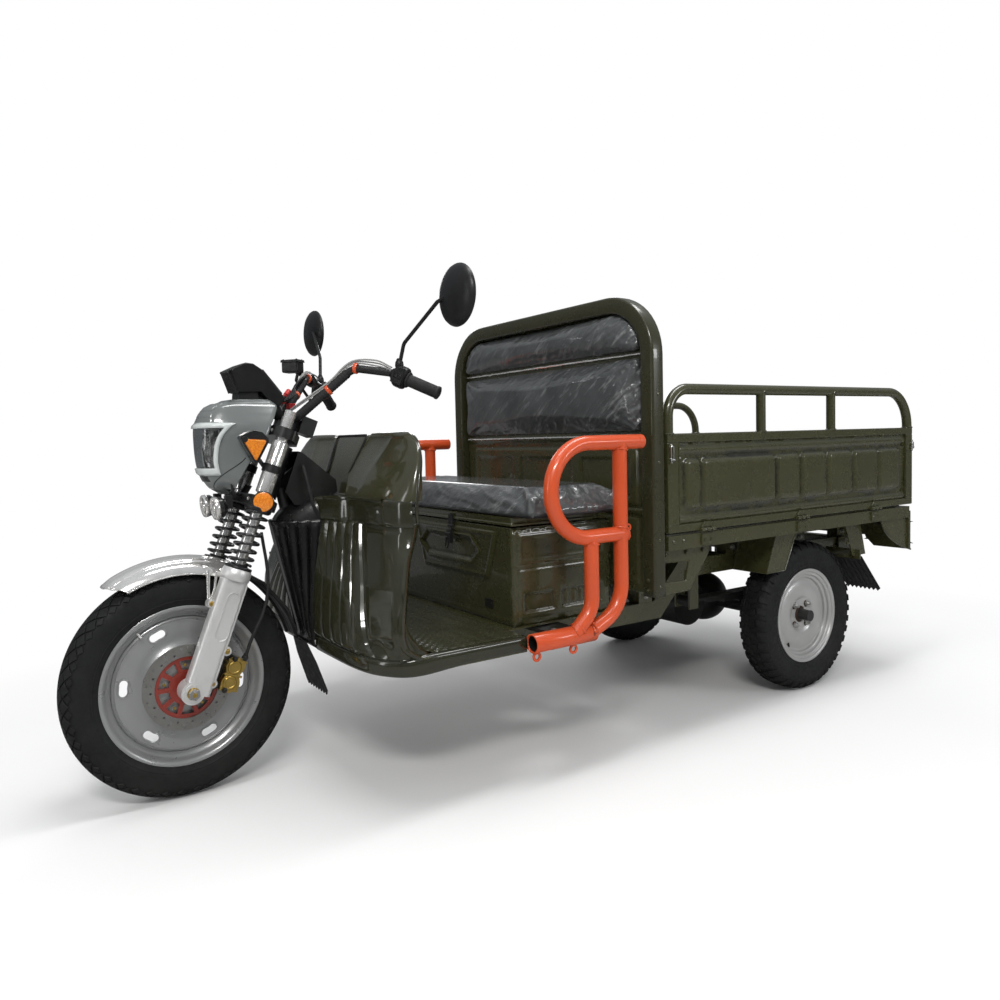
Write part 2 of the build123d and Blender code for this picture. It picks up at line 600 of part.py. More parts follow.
def front_axle():
    pin = Pos(AXLE_N, 0, AXLE_S) * Rot(90, 0, 0) * Cylinder(9.95, 284)
    for y in (-134, 134):
        pin = pin + Pos(AXLE_N, y, AXLE_S) * Rot(90, 0, 0) * extrude(RegularPolygon(15, 6), 7, both=True)
    return pin


def caliper():
    """Two-part brake caliper over the disc's rear edge."""
    body = Pos(AXLE_N + 100, -66, AXLE_S + 58) * Box(54, 38, 100)
    body = fillet(body.edges().filter_by(Axis.Y), 14)
    slot = Pos(AXLE_N + 88, -57, AXLE_S + 58) * Box(62, 12, 110)
    return body - slot


def brake_hose():
    """Hose from the caliper up inside the fork to the lower clamp."""
    points = [(-1042, -93, 362), (-1030, -95, 398), (-1012, -94, 434), (-992, -90, 466), (-976, -84, 502),
              (-966, -76, 540), (-962, -66, 578), (-962, -56, 616), (-964, -46, 652), (-966, -36, 690)]
    return pipe(points, [90, 90, 100, 110, 110, 110, 110, 110], 4.5)


def fender_blade(section, start_deg, arc_deg):
    """Strip turned about the front axle, from an angle above level ahead, rearwards."""
    turned = revolve(section, axis=Axis.Y, revolution_arc=arc_deg)
    return Pos(FRONT_AXLE_X, 0, FRONT_TYRE_R) * Rot(0, -start_deg, 0) * turned


def front_fender():
    """Deep-sided chrome blade that follows the tyre, with its stays to the fork."""
    crest = 337.0
    side = crest - 37
    with BuildLine() as line:
        Spline((side, -62), (side + 26, -55), (crest, 0), (side + 26, 55), (side, 62))
        Polyline((side, 62), (side - 1, 58.5), (side + 23, 52))
        Spline((side + 23, 52), (crest - 4, 0), (side + 23, -52))
        Polyline((side + 23, -52), (side - 1, -58.5), (side, -62))
    blade = fender_blade(make_face(line.line), 124, 58)
    stay = rod((-1122, -59.5, 604), (-1127, -70, 521), 5)
    eye = disc_y(-1127, 518, -75.8, -69, 10)
    return blade + stay + eye + on_right(stay) + on_right(eye)


def fender_tail():
    """Narrow black rear half of the mudguard, ending in the flap."""
    inner = 326.0
    with BuildLine() as line:
        Polyline((inner, -44), (inner + 4, -44), (inner + 4, 44), (inner, 44), close=True)
    tail = fender_blade(make_face(line.line), 65.6, 55)
    flap = side_plate([(-872, 362), (-866, 362), (-798, 207), (-803, 205)], -42, 42)
    return tail + flap


# ---- head unit ----
# headlight mask at each height: nose x, rear x and half width there, and the nose's own half width
MASK_LEVELS = [(798, -1066, -1048, 24, 10), (822, -1096, -1042, 62, 34), (850, -1112, -1030, 82, 46),
               (890, -1120, -1008, 94, 54), (945, -1122, -968, 100, 60), (990, -1120, -946, 92, 60),
               (1032, -1094, -918, 66, 52), (1056, -1052, -935, 48, 40)]


def mask_outline(nose, rear, half, nose_half):
    """Rounded wedge in plan."""
    cheek = nose + 44 if rear - nose > 60 else nose + 8
    left = [(rear, -half), (cheek, -nose_half), (nose + 9, -nose_half * 0.62), (nose, -nose_half * 0.22)]
    return left + [(x, -y) for x, y in reversed(left)]


def headlight_mask():
    """Closed fairing round the headlamp."""
    mask = None
    for low, high in zip(MASK_LEVELS[:-1], MASK_LEVELS[1:]):
        part = loft([level_face(mask_outline(*row[1:]), row[0]) for row in (low, high)], ruled=True)
        mask = part if mask is None else mask + part
    return mask - lamp_zone(0.3)


def lamp_zone(gap):
    """The space of the headlamp: a wrap-round wedge at the mask's nose."""
    low = [(-1086, -34), (-1116, -18), (-1121, 0), (-1116, 18), (-1086, 34), (-1078, 34), (-1078, -34)]
    high = [(-1074, -60), (-1112, -38), (-1126, 0), (-1112, 38), (-1074, 60), (-1066, 60), (-1066, -60)]
    grown = [[(x + gap if i > 4 else x - 12 * gap, y + math.copysign(gap, y) if y else 0)
              for i, (x, y) in enumerate(points)] for points in (low, high)]
    return loft([level_face(grown[0], 868 - gap), level_face(grown[1], 976 + gap)], ruled=True)


def headlamp():
    return lamp_zone(0)


def console():
    """Black instrument housing above the mask."""
    shape = side_plate([(-1049, 1133), (-1000, 1158), (-980, 1156), (-892, 1085), (-902, 1040), (-935, 1056.4),
                        (-1030, 1056.4)], -52, 52)
    return shape - block(-936, -850, -60, 60, 1000, 1056.4)


def signal(y):
    """Turn signal: a short stalk with a three-cornered lamp."""
    side = math.copysign(1, y)
    outline = [(-1042, 962), (-966, 962), (-992, 886)]
    lamp = side_plate(outline, y, y + 30)
    if side < 0:
        lamp = side_plate(outline, y - 30, y)
    return fillet(lamp.edges().filter_by(Axis.Y), 9)


def horns():
    return [rod((-1100, y, 766), (-1066, y, 770), 31) for y in (-52, 52)]


def handlebar():
    clamp = Vector(*AXIS_FOOT) + Vector(*BACK_AXIS) * BAR_CLAMP_N + Vector(*UP_AXIS) * BAR_CLAMP_S
    left = [BAR_END, BAR_SWITCH, BAR_BEND, (clamp.X, -BAR_CLAMP_HALF, clamp.Z)]
    right = [(x, -y, z) for x, y, z in reversed(left)]
    return pipe(left + right, [60, 50, 30, 30, 50, 60], BAR_TUBE_R)


def along(start, end, distance):
    """The point a distance past start on the way to end."""
    step = (Vector(*end) - Vector(*start)).normalized() * distance
    return tuple(Vector(*start) + step)


def grip():
    """Closed rubber sleeve on the bar's left end."""
    root = along(BAR_END, BAR_SWITCH, 92)
    tip = along(BAR_END, BAR_SWITCH, -6)
    return rod(root, tip, 16) - rod(root, BAR_END, BAR_TUBE_R + 0.05)


def switch_box():
    """Round housing of the switches, split round the bar beside the grip."""
    start = along(BAR_END, BAR_SWITCH, 130)
    end = along(BAR_END, BAR_SWITCH, 93)
    return rod(start, end, 29) - rod(along(start, end, -60), along(end, start, -60), BAR_TUBE_R + 0.05)


def brake_master():
    """Front brake's fluid housing and lever, on the bar's right side."""
    ring = on_right(rod(along(BAR_SWITCH, BAR_BEND, 60), along(BAR_SWITCH, BAR_BEND, 78), 19))
    bore = on_right(rod(BAR_SWITCH, BAR_BEND, BAR_TUBE_R + 0.05))
    tank = Pos(-768, 192, 1172) * Rot(0, 0, 40) * Box(44, 56, 34)
    tank = fillet(tank.edges(), 5)
    neck = rod((-762, 194, 1166), (-717, 200, 1140), 9)
    lever = pipe([(-748, 200, 1158), (-738, 244, 1136), (-642, 350, 1070)], 24, 5)
    return ring + tank + neck + lever - bore


def control_cable():
    """Cable along the bar's left half, from the switch box to the bar's bend."""
    lift = 22
    points = [along(BAR_END, BAR_SWITCH, 132), BAR_SWITCH, BAR_BEND, (-812, -98, 1060)]
    raised = [(x - 4, y, z + lift) for x, y, z in points]
    return pipe(raised, [60, 70], 4)


def mirror_piece(lift):
    """Left mirror: bent stem and round head."""
    foot = along(BAR_END, BAR_SWITCH, 112)
    base = (foot[0] - 4, foot[1], foot[2] + 38)
    knee = (base[0] + 8, base[1] - 14, 1196 + lift)
    stem = pipe([base, knee, (-602, -412, 1290 + lift), (-590, -440, 1301 + lift)], [25, 16], 5)
    head = revolve(make_face(Polyline((0, -9), (MIRROR_R - 6, -9), (MIRROR_R, -4), (MIRROR_R, 0), (50, 10), (0, 14),
                                      close=True)), axis=Axis.Y)
    return stem + Pos(-584, -468, 1300 + lift) * Rot(0, 0, 90) * head


# ---- write every node ----
left_tyre = rear_tyre()
left_rim = rear_rim()
write("front_tyre", front_tyre())
write("front_rim", front_rim())
write("brake_disc", brake_disc())
write("rear_tyre_left", left_tyre)
write("rear_tyre_right", on_right(left_tyre))
write("rear_rim_left", left_rim)
write("rear_rim_right", on_right(left_rim))
write("rear_axle", rear_axle())
write("drive_motor", motor())
write("leaf_springs", *both_sides(leaf_spring()))
write("chassis_frame", chassis_frame())
write("head_frame", head_frame())
write("neck_cover", neck_cover())
write("neck_cable", neck_cable())
write("leg_shield", leg_shield())
write("cowl_top", cowl_top())
write("cowl_grille", grille())
write("cowl_liner", liner())
write("floor_pan", floor_pan())
write("brake_pedal", brake_pedal())
write("seat_box", seat_box())
write("battery_pack", battery())
write("seat_lid", seat_lid())
write("seat_cushion", seat_cushion())
write("seat_latch", seat_latch())
write("backrest_frame", backrest_frame())
write("backrest_cushion_upper", backrest_cushion(1182, 1312, 466, 120))
write("backrest_cushion_lower", backrest_cushion(940, 1168, 470, 34))
bar = guard_bar()
write("guard_bar_left", bar)
write("guard_bar_right", on_right(bar))
write("bed_floor", bed_floor())
write("bed_supports", *bed_supports())
write("bed_front_board", bed_front_board())
board = side_board()
write("side_board_left", board)
write("side_board_right", on_right(board))
write("tailgate", tailgate())
write("rear_bumper", rear_bumper())
write("tail_lamps", *tail_lamps())
guards = mudguard()
write("rear_mudguards", *guards, *[on_right(piece) for piece in guards])
write("rear_mud_flaps", *both_sides(mud_flap()))
write("fork_legs", steer(fork_leg(-LEG_Y)), steer(fork_leg(LEG_Y)))
write("fork_tubes", steer(fork_tube(-LEG_Y)), steer(fork_tube(LEG_Y)))
write("fork_springs", steer(fork_spring(-LEG_Y)), steer(fork_spring(LEG_Y)))
write("fork_clamps", steer(clamps()))
write("front_axle", steer(front_axle()))
write("brake_caliper", steer(caliper()))
write("brake_hose", brake_hose())
write("front_fender", front_fender())
write("fender_tail", fender_tail())
write("headlight_mask", headlight_mask())
write("headlamp", headlamp())
write("instrument_console", console())
write("turn_signals", signal(-103), signal(103))
write("horns", *horns())
write("handlebar", handlebar())
write("hand_grips", *both_sides(grip()))
write("switch_boxes", *both_sides(switch_box()))
write("brake_master", brake_master())
write("control_cable", control_cable())
write("mirrors", mirror_piece(0), on_right(mirror_piece(22)))
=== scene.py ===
import bmesh
import bpy
import math
from mathutils import Matrix, Vector, noise


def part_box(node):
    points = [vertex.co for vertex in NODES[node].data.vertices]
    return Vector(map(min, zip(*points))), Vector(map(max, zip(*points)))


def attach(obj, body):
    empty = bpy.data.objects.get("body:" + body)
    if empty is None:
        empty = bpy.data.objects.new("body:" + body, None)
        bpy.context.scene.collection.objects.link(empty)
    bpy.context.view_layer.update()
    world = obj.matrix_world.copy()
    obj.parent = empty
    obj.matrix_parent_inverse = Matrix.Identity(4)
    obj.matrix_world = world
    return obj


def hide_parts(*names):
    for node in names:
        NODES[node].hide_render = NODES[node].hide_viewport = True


# Looks of the electric cargo tricycle. Shapes are written in millimetres and built in metres.
# It faces -x, its right side is +y, and z is the height above the ground.
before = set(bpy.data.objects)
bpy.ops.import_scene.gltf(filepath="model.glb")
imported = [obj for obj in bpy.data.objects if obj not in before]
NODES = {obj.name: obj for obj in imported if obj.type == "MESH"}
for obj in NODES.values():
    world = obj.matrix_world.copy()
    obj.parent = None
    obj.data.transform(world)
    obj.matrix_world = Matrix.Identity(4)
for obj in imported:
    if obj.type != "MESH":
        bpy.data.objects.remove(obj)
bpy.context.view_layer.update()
SCENE = bpy.context.scene
MM = 0.001
REARWARD, ACROSS, UP = (1, 0, 0), (0, 1, 0), (0, 0, 1)
SIDES = ((-1, "left"), (1, "right"))
TURN = 2 * math.pi
FRONT_HUB = (-1190, 0, 302)
REAR_HUB = (892, 424, 267)
# the fork's legs and the front axle, rearwards from the steering axis, across, and up along it
LEG_BACK, LEG_SIDE = -45, 100
AXLE_BACK, AXLE_UP = -58.5, -1.7
BOARD_SIDE = 528
GUARD_SIDE, GUARD_FOOT_SIDE = 524, 519


# ---------- lines ----------
def lerp(a, b, t):
    return a + (b - a) * t


def smooth(t):
    t = min(max(t, 0.0), 1.0)
    return t * t * (3 - 2 * t)


def spline(a, b, c, d, t):
    """Catmull-Rom value between b and c."""
    return 0.5 * (2 * b + (c - a) * t + (2 * a - 5 * b + 4 * c - d) * t * t
                  + (3 * b - a - 3 * c + d) * t ** 3)


def curve_through(points, per_span):
    """Smooth line through the points."""
    points = [Vector(p) for p in points]
    out = []
    for i in range(len(points) - 1):
        b, c = points[i], points[i + 1]
        a = points[i - 1] if i else b * 2 - c
        d = points[i + 2] if i + 2 < len(points) else c * 2 - b
        out.extend(spline(a, b, c, d, k / per_span) for k in range(per_span))
    out.append(points[-1])
    return out


def rounded_profile(profile, per_span):
    """Smooth line through the (a, b) points of a section."""
    return [(p.x, p.y) for p in curve_through([(a, b, 0) for a, b in profile], per_span)]


def bent_line(points, radius, steps=6):
    """Straight runs joined by round bends."""
    points = [Vector(p) for p in points]
    radii = radius if isinstance(radius, (list, tuple)) else [radius] * (len(points) - 2)
    out = [points[0]]
    for i in range(1, len(points) - 1):
        here = points[i]
        u, v = points[i - 1] - here, points[i + 1] - here
        # an end run may be used up by its bend, and a middle run is shared by two bends
        room = min(u.length * (0.995 if i == 1 else 0.499),
                   v.length * (0.995 if i == len(points) - 2 else 0.499))
        u.normalize()
        v.normalize()
        half = u.angle(v) / 2
        reach = min(radii[i - 1] / math.tan(half), room)
        middle, side = (u + v).normalized(), (v - u).normalized()
        centre = here + middle * (reach / math.cos(half))
        for k in range(steps + 1):
            a = lerp(-1, 1, k / steps) * (math.pi / 2 - half)
            out.append(centre + (side * math.sin(a) - middle * math.cos(a)) * reach * math.tan(half))
    out.append(points[-1])
    return out


def resample_line(line, shares):
    """Points at set shares of a line's length."""
    run = [0.0]
    for a, b in zip(line[:-1], line[1:]):
        run.append(run[-1] + (b - a).length)
    out = []
    for share in shares:
        target = share * run[-1]
        k = max(i for i in range(len(line) - 1) if run[i] <= target + 1e-9)
        t = (target - run[k]) / max(run[k + 1] - run[k], 1e-6)
        out.append(line[k].lerp(line[k + 1], min(max(t, 0), 1)))
    return out


def table_rows(table, z):
    """The four rows of a table round a height, and how far it is between the middle two."""
    i = max(k for k in range(len(table) - 1) if table[k][0] <= z)
    rows = [table[max(i - 1, 0)], table[i], table[i + 1], table[min(i + 2, len(table) - 1)]]
    return rows, (z - rows[1][0]) / (rows[2][0] - rows[1][0])


def ahead_at(points, k):
    return points[min(k + 1, len(points) - 1)] - points[max(k - 1, 0)]


def outward(points, k, heading=(-1, 0)):
    """Level direction square to a line at one of its points, on the side of the heading."""
    ahead = ahead_at(points, k)
    out = Vector((ahead.y, -ahead.x, 0)).normalized()
    return -out if out.x * heading[0] + out.y * heading[1] < 0 else out


def opposite(points):
    """The same line on the other side of the vehicle."""
    return [Vector((p.x, -p.y, p.z)) for p in points]


# foot of the steering axis, and the cosine and sine of its rake
AXIS_X, AXIS_Z = -1135, 282
RAKE_COS, RAKE_SIN = 0.9298, 0.3681


def steered(n, y, s):
    """A point given rearwards from the steering axis, across, and up along the axis."""
    return Vector((AXIS_X + n * RAKE_COS + s * RAKE_SIN, y, AXIS_Z - n * RAKE_SIN + s * RAKE_COS))


FORK_ORIGIN = steered(0, 0, 0)
FORK_UP = steered(0, 0, 1) - FORK_ORIGIN
FORK_BACK = steered(1, 0, 0) - FORK_ORIGIN
FORK_AHEAD = steered(-1, 0, 0) - FORK_ORIGIN


# ---------- shapes ----------
class Shape:
    """Points in millimetres and faces, gathered for one piece."""

    def __init__(self):
        self.points = []
        self.faces = []

    def add(self, points, faces):
        base = len(self.points)
        self.points.extend(tuple(p) for p in points)
        self.faces.extend(tuple(base + i for i in face) for face in faces)
        return self

    def grid(self, rows, wrap=False, loop=False, caps=False):
        """Skin over rows of points; wrap closes each row, loop closes the rows, caps fill the end rows."""
        width, height = len(rows[0]), len(rows)
        faces = []
        for r in range(height if loop else height - 1):
            for c in range(width if wrap else width - 1):
                a, b = r * width, ((r + 1) % height) * width
                d = (c + 1) % width
                faces.append((a + c, a + d, b + d, b + c))
        if caps:
            faces.append(tuple(range(width - 1, -1, -1)))
            faces.append(tuple((height - 1) * width + c for c in range(width)))
        return self.add([p for row in rows for p in row], faces)

    def turned(self, centre, profile, axis=ACROSS, segments=48, closed=False):
        """Profile of (radius, distance along the axis) turned about an axis."""
        axis = Vector(axis).normalized()
        u = Vector(REARWARD) if abs(axis.y) > 0.99 else axis.orthogonal().normalized()
        v = axis.cross(u)
        centre = Vector(centre)
        rows = []
        for i in range(segments):
            angle = math.radians(360.0 * i / segments)
            spoke = u * math.cos(angle) + v * math.sin(angle)
            rows.append([centre + spoke * r + axis * a for r, a in profile])
        return self.grid(rows, wrap=closed, loop=True)

    def tube(self, path, radius, segments=14, caps=True):
        """Round bar along a line; radius may be one number or one for each point."""
        path = [Vector(p) for p in path]
        radii = radius if isinstance(radius, (list, tuple)) else [radius] * len(path)
        side = (path[1] - path[0]).normalized().orthogonal().normalized()
        rows = []
        for i, p in enumerate(path):
            here = ahead_at(path, i).normalized()
            side = (side - here * side.dot(here)).normalized()
            other = here.cross(side)
            rows.append([p + (side * math.cos(a) + other * math.sin(a)) * radii[i]
                         for a in (TURN * k / segments for k in range(segments))])
        return self.grid(rows, wrap=True, caps=caps)

    def ring(self, centre, axis, radius, thick, segments=40, sides=8):
        """Round ring of bar."""
        profile = [(radius + thick * math.cos(TURN * k / sides), thick * math.sin(TURN * k / sides))
                   for k in range(sides)]
        return self.turned(centre, profile, axis, segments, closed=True)

    def prism(self, outline, origin, u, v, depth, inset=0.0):
        """Outline of (a, b) along u and v, pushed out by depth; inset narrows the far end."""
        u, v, origin = Vector(u), Vector(v), Vector(origin)
        n = u.cross(v).normalized()
        ca = sum(a for a, b in outline) / len(outline)
        cb = sum(b for a, b in outline) / len(outline)
        near = [origin + u * a + v * b for a, b in outline]
        far = []
        for a, b in outline:
            reach = max(math.hypot(a - ca, b - cb), 1e-6)
            k = (reach - inset) / reach
            far.append(origin + u * (ca + (a - ca) * k) + v * (cb + (b - cb) * k) + n * depth)
        return self.grid([near, far], wrap=True, caps=True)

    def plate(self, half_u, half_v, origin, u, v, depth, inset=0.0):
        """Prism over a rectangle about its origin."""
        outline = [(-half_u, -half_v), (half_u, -half_v), (half_u, half_v), (-half_u, half_v)]
        return self.prism(outline, origin, u, v, depth, inset)

    def box(self, low, high):
        x0, y0, z0 = low
        x1, y1, z1 = high
        points = [(x0, y0, z0), (x1, y0, z0), (x1, y1, z0), (x0, y1, z0),
                  (x0, y0, z1), (x1, y0, z1), (x1, y1, z1), (x0, y1, z1)]
        return self.add(points, [(3, 2, 1, 0), (4, 5, 6, 7), (0, 1, 5, 4), (1, 2, 6, 5), (2, 3, 7, 6),
                                 (3, 0, 4, 7)])

    def bolt(self, at, axis, size=8.0, height=5.0, washer=True):
        """Hexagon head with its washer, standing along axis from at."""
        axis = Vector(axis).normalized()
        at = Vector(at)
        u = axis.orthogonal().normalized()
        base = 0.0
        if washer:
            self.turned(at, [(0, 0), (size * 1.15, 0), (size * 1.15, 0.9), (size * 1.05, 1.4), (0, 1.4)],
                        axis, 18)
            base = 1.4
        hexagon = [(size * math.cos(math.radians(60 * k + 12)), size * math.sin(math.radians(60 * k + 12)))
                   for k in range(6)]
        self.prism(hexagon, at + axis * base, u, axis.cross(u), height, inset=0.6)
        return self.turned(at + axis * (base + height), [(size * 0.62, -0.3), (size * 0.5, 0.8), (0, 1.0)],
                           axis, 12)

    def rivet(self, at, axis, size=4.0, height=2.2):
        profile = [(size, -0.5), (size, 0.2), (size * 0.8, height * 0.7), (size * 0.4, height), (0, height)]
        return self.turned(at, profile, axis, 12)

    def merge(self, other):
        return self.add(other.points, other.faces)

    def flipped(self):
        """Only the same shape on the other side."""
        other = Shape()
        return other.add([(x, -y, z) for x, y, z in self.points], [tuple(reversed(f)) for f in self.faces])

    def mirrored(self):
        """Adds the same shape on the other side."""
        return self.merge(self.flipped())

    def on_side(self, side):
        """A shape that was drawn on the left, on the side that is asked for."""
        return self if side < 0 else self.flipped()


def new_object(name, shape):
    """Mesh object in metres from a shape in millimetres."""
    mesh = bpy.data.meshes.new(name)
    mesh.from_pydata([(x * MM, y * MM, z * MM) for x, y, z in shape.points], [], shape.faces)
    mesh.validate()
    obj = bpy.data.objects.new(name, mesh)
    SCENE.collection.objects.link(obj)
    return obj


def modify(obj, kind, **values):
    modifier = obj.modifiers.new(kind.lower(), kind)
    for key, value in values.items():
        setattr(modifier, key, value)
    return modifier


def shade(mesh, sharp):
    """Smooth faces with hard edges where they meet at more than an angle in degrees."""
    mesh.polygons.foreach_set("use_smooth", [True] * len(mesh.polygons))
    mesh.set_sharp_from_angle(angle=math.radians(sharp))


def piece(name, shape, material, body="chassis", replaces=(), slot=None, bevel=0.0, sharp=40, solid=0.0,
          keep=1.0):
    """Makes one shown piece from a shape and puts it on its body; keep is the share of triangles kept."""
    obj = new_object(name, shape)
    obj.data.materials.append(material)
    if keep < 1:
        modify(obj, "DECIMATE", ratio=keep)
    if solid:
        modify(obj, "SOLIDIFY", thickness=abs(solid) * MM, offset=-math.copysign(1.0, solid))
    if bevel:
        modify(obj, "BEVEL", width=bevel * MM, segments=2, limit_method="ANGLE", angle_limit=math.radians(32),
               harden_normals=True)
    shade(obj.data, sharp)
    if replaces:
        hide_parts(*replaces)
    slot = slot or SLOTS[material.name]
    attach(obj, body)
    return obj


# ---------- finishes ----------
class Finish:
    """Builds one procedural node material."""

    def __init__(self, name):
        self.material = bpy.data.materials.new(name)
        self.material.use_nodes = True
        self.tree = self.material.node_tree
        self.shader = self.tree.nodes["Principled BSDF"]
        self.place = self.node("ShaderNodeTexCoord").outputs["Object"]
        self.normal = None

    def node(self, kind, **values):
        made = self.tree.nodes.new(kind)
        for key, value in values.items():
            if key in made.inputs:
                made.inputs[key].default_value = value
            else:
                setattr(made, key, value)
        return made

    def link(self, a, b):
        self.tree.links.new(a, b)

    def fed(self, made, values):
        """Gives a node's inputs their values, each a constant or another node's output."""
        for socket, value in values.items():
            if isinstance(value, bpy.types.NodeSocket):
                self.link(value, made.inputs[socket])
            else:
                made.inputs[socket].default_value = value
        return made

    def set(self, **values):
        for key, value in values.items():
            name = key.replace("_", " ").title().replace("Ior", "IOR")
            self.shader.inputs[name].default_value = value
        return self

    def mapped(self, source, **values):
        made = self.node("ShaderNodeMapping", **values)
        self.link(source, made.inputs["Vector"])
        return made.outputs["Vector"]

    def noise(self, scale, detail=3.0, rough=0.55, stretch=None, source=None):
        if stretch:
            source = self.mapped(source or self.place, Scale=stretch)
        made = self.node("ShaderNodeTexNoise", Scale=scale, Detail=detail, Roughness=rough)
        self.link(source or self.place, made.inputs["Vector"])
        return made.outputs["Fac"]

    def cells(self, scale):
        made = self.node("ShaderNodeTexVoronoi", Scale=scale)
        self.link(self.place, made.inputs["Vector"])
        return made.outputs["Distance"]

    def ramp(self, source, low, high, start, end):
        made = self.node("ShaderNodeMapRange")
        self.fed(made, {"From Min": low, "From Max": high, "To Min": start, "To Max": end, "Value": source})
        return made.outputs["Result"]

    def mix(self, below, above, factor):
        """Colour between two; each is three numbers or another node's output."""
        below, above = ((*c, 1) if isinstance(c, tuple) else c for c in (below, above))
        return self.fed(self.node("ShaderNodeMix", data_type="RGBA"),
                        {6: below, 7: above, 0: factor}).outputs[2]

    def maths(self, operation, *values, kind="Math"):
        """One arithmetic node over its values; kind may be VectorMath."""
        made = self.node("ShaderNode" + kind, operation=operation)
        return self.fed(made, dict(enumerate(values))).outputs["Value" if operation == "LENGTH" else 0]

    def height(self):
        split = self.node("ShaderNodeSeparateXYZ")
        self.link(self.place, split.inputs[0])
        return split.outputs

    def paint(self, output):
        self.link(output, self.shader.inputs["Base Color"])

    def rough(self, output):
        self.link(output, self.shader.inputs["Roughness"])

    def bump(self, output, strength, distance):
        made = self.node("ShaderNodeBump", Strength=strength, Distance=distance)
        self.link(output, made.inputs["Height"])
        if self.normal is not None:
            self.link(self.normal, made.inputs["Normal"])
        self.bend(made)

    def bend(self, made):
        self.normal = made.outputs["Normal"]
        self.link(self.normal, self.shader.inputs["Normal"])

    def soft_edges(self, radius):
        """Lets light round off the edges of plates that have none of their own."""
        if radius:
            self.bend(self.node("ShaderNodeBevel", Radius=radius, samples=3))

    def painted_crease_shade(self, below, colour):
        """Painted shade: darkens the colour in creases and inner corners, where the surface is hollow."""
        shape = self.node("ShaderNodeNewGeometry")
        return self.mix(below, colour, self.ramp(shape.outputs["Pointiness"], 0.455, 0.496, 0.92, 0.0))

    def low_dust(self, below, colour, top, strength):
        """Road dust that thins out upwards, to none at the top height in metres."""
        height = self.ramp(self.height()["Z"], 0.0, top, 1.0, 0.0)
        patch = self.ramp(self.noise(9.0, 5.0, 0.7), 0.35, 0.75, 0.0, strength)
        return self.mix(below, colour, self.maths("MULTIPLY", height, patch))


def enamel(name, colour, deep, rough, coat, edge=0.0012, dust=0.08, metallic=0.0, shaded=False):
    f = Finish(name)
    f.soft_edges(edge)
    base = f.mix(colour, deep, f.ramp(f.noise(6.0, 4.0), 0.3, 0.7, 0.0, 1.0))
    if shaded:
        # painted shade: creases and inner corners darken towards 0.22 of the deep tone
        base = f.painted_crease_shade(base, tuple(c * 0.22 for c in deep))
    f.paint(f.low_dust(base, (0.16, 0.145, 0.115), 0.75, dust))
    f.rough(f.ramp(f.noise(16.0, 4.0, 0.6), 0.25, 0.8, rough * 0.85, rough * 1.2))
    f.set(metallic=metallic, coat_weight=coat, coat_roughness=0.05, coat_ior=1.5)
    f.bump(f.noise(420.0, 2.0), 0.018, 0.0005)
    f.bump(f.noise(18.0, 2.0), 0.04, 0.0012)
    return f.material


def bare_metal(name, colour, rough, scale=260.0, stretch=None, strength=0.12, edge=0.0008,
               stain=(0.2, 0.19, 0.17), stain_share=0.25, metallic=1.0):
    f = Finish(name)
    f.soft_edges(edge)
    f.paint(f.mix(colour, stain, f.ramp(f.noise(14.0, 5.0, 0.7), 0.5, 0.85, 0.0, stain_share)))
    f.rough(f.ramp(f.noise(scale * 0.3, 4.0, 0.6, stretch), 0.2, 0.8, rough * 0.7, rough * 1.4))
    f.set(metallic=metallic)
    f.bump(f.noise(scale, 3.0, 0.6, stretch), strength, 0.0005)
    return f.material


def moulded(name, colour, rough, grain=900.0, strength=0.16, edge=0.001, coat=0.0, dust=0.06):
    f = Finish(name)
    f.soft_edges(edge)
    pale = tuple(c * 1.5 + 0.004 for c in colour)
    base = f.mix(colour, pale, f.ramp(f.noise(11.0, 4.0), 0.3, 0.8, 0.0, 1.0))
    f.paint(f.low_dust(base, (0.17, 0.15, 0.12), 0.6, dust))
    f.rough(f.ramp(f.noise(60.0, 4.0), 0.3, 0.75, rough * 0.8, rough * 1.25))
    f.set(coat_weight=coat, coat_roughness=0.08, specular_ior_level=0.3)
    f.bump(f.noise(grain, 2.0), strength, 0.0004)
    return f.material


def leatherette():
    f = Finish("leatherette_under_film_painted_sheen")
    mottle = f.ramp(f.noise(8.0, 4.0), 0.3, 0.75, 0.0, 1.0)
    base = f.mix((0.036, 0.039, 0.040), (0.078, 0.083, 0.085), mottle)
    # loose clear film over the pads: pale streaks that run slantwise are painted highlights of the film, more
    # of them towards the left end
    slant = f.mapped(f.place, Rotation=(math.radians(38), 0, math.radians(14)))
    folds = f.noise(30.0, 6.0, 0.7, (1.0, 0.2, 1.6), slant)
    painted_highlight_streak = f.ramp(folds, 0.54, 0.72, 0.0, 0.62)
    near = f.ramp(f.height()["Y"], -0.45, 0.35, 1.0, 0.3)
    # painted highlight: the streaks lighten the base colour towards pale grey
    f.paint(f.mix(base, (0.36, 0.37, 0.37), f.maths("MULTIPLY", painted_highlight_streak, near)))
    pores = f.cells(520.0)
    f.rough(f.ramp(f.noise(40.0, 5.0, 0.7), 0.3, 0.75, 0.3, 0.5))
    f.set(coat_weight=1.0, coat_roughness=0.08, coat_ior=1.5)
    f.bump(pores, 0.14, 0.0004)
    f.bump(folds, 0.5, 0.006)
    return f.material


def tyre_rubber():
    f = Finish("tyre_rubber")
    mottle = f.ramp(f.noise(20.0, 6.0, 0.7), 0.35, 0.75, 0.0, 1.0)
    base = f.mix((0.0065, 0.0068, 0.007), (0.013, 0.0135, 0.0135), mottle)
    f.paint(f.low_dust(base, (0.06, 0.055, 0.045), 0.45, 0.15))
    f.rough(f.ramp(f.noise(90.0, 5.0), 0.3, 0.7, 0.5, 0.74))
    f.set(specular_ior_level=0.28)
    f.bump(f.noise(640.0, 3.0), 0.22, 0.0005)
    f.bump(f.noise(60.0, 2.0), 0.05, 0.001)
    return f.material


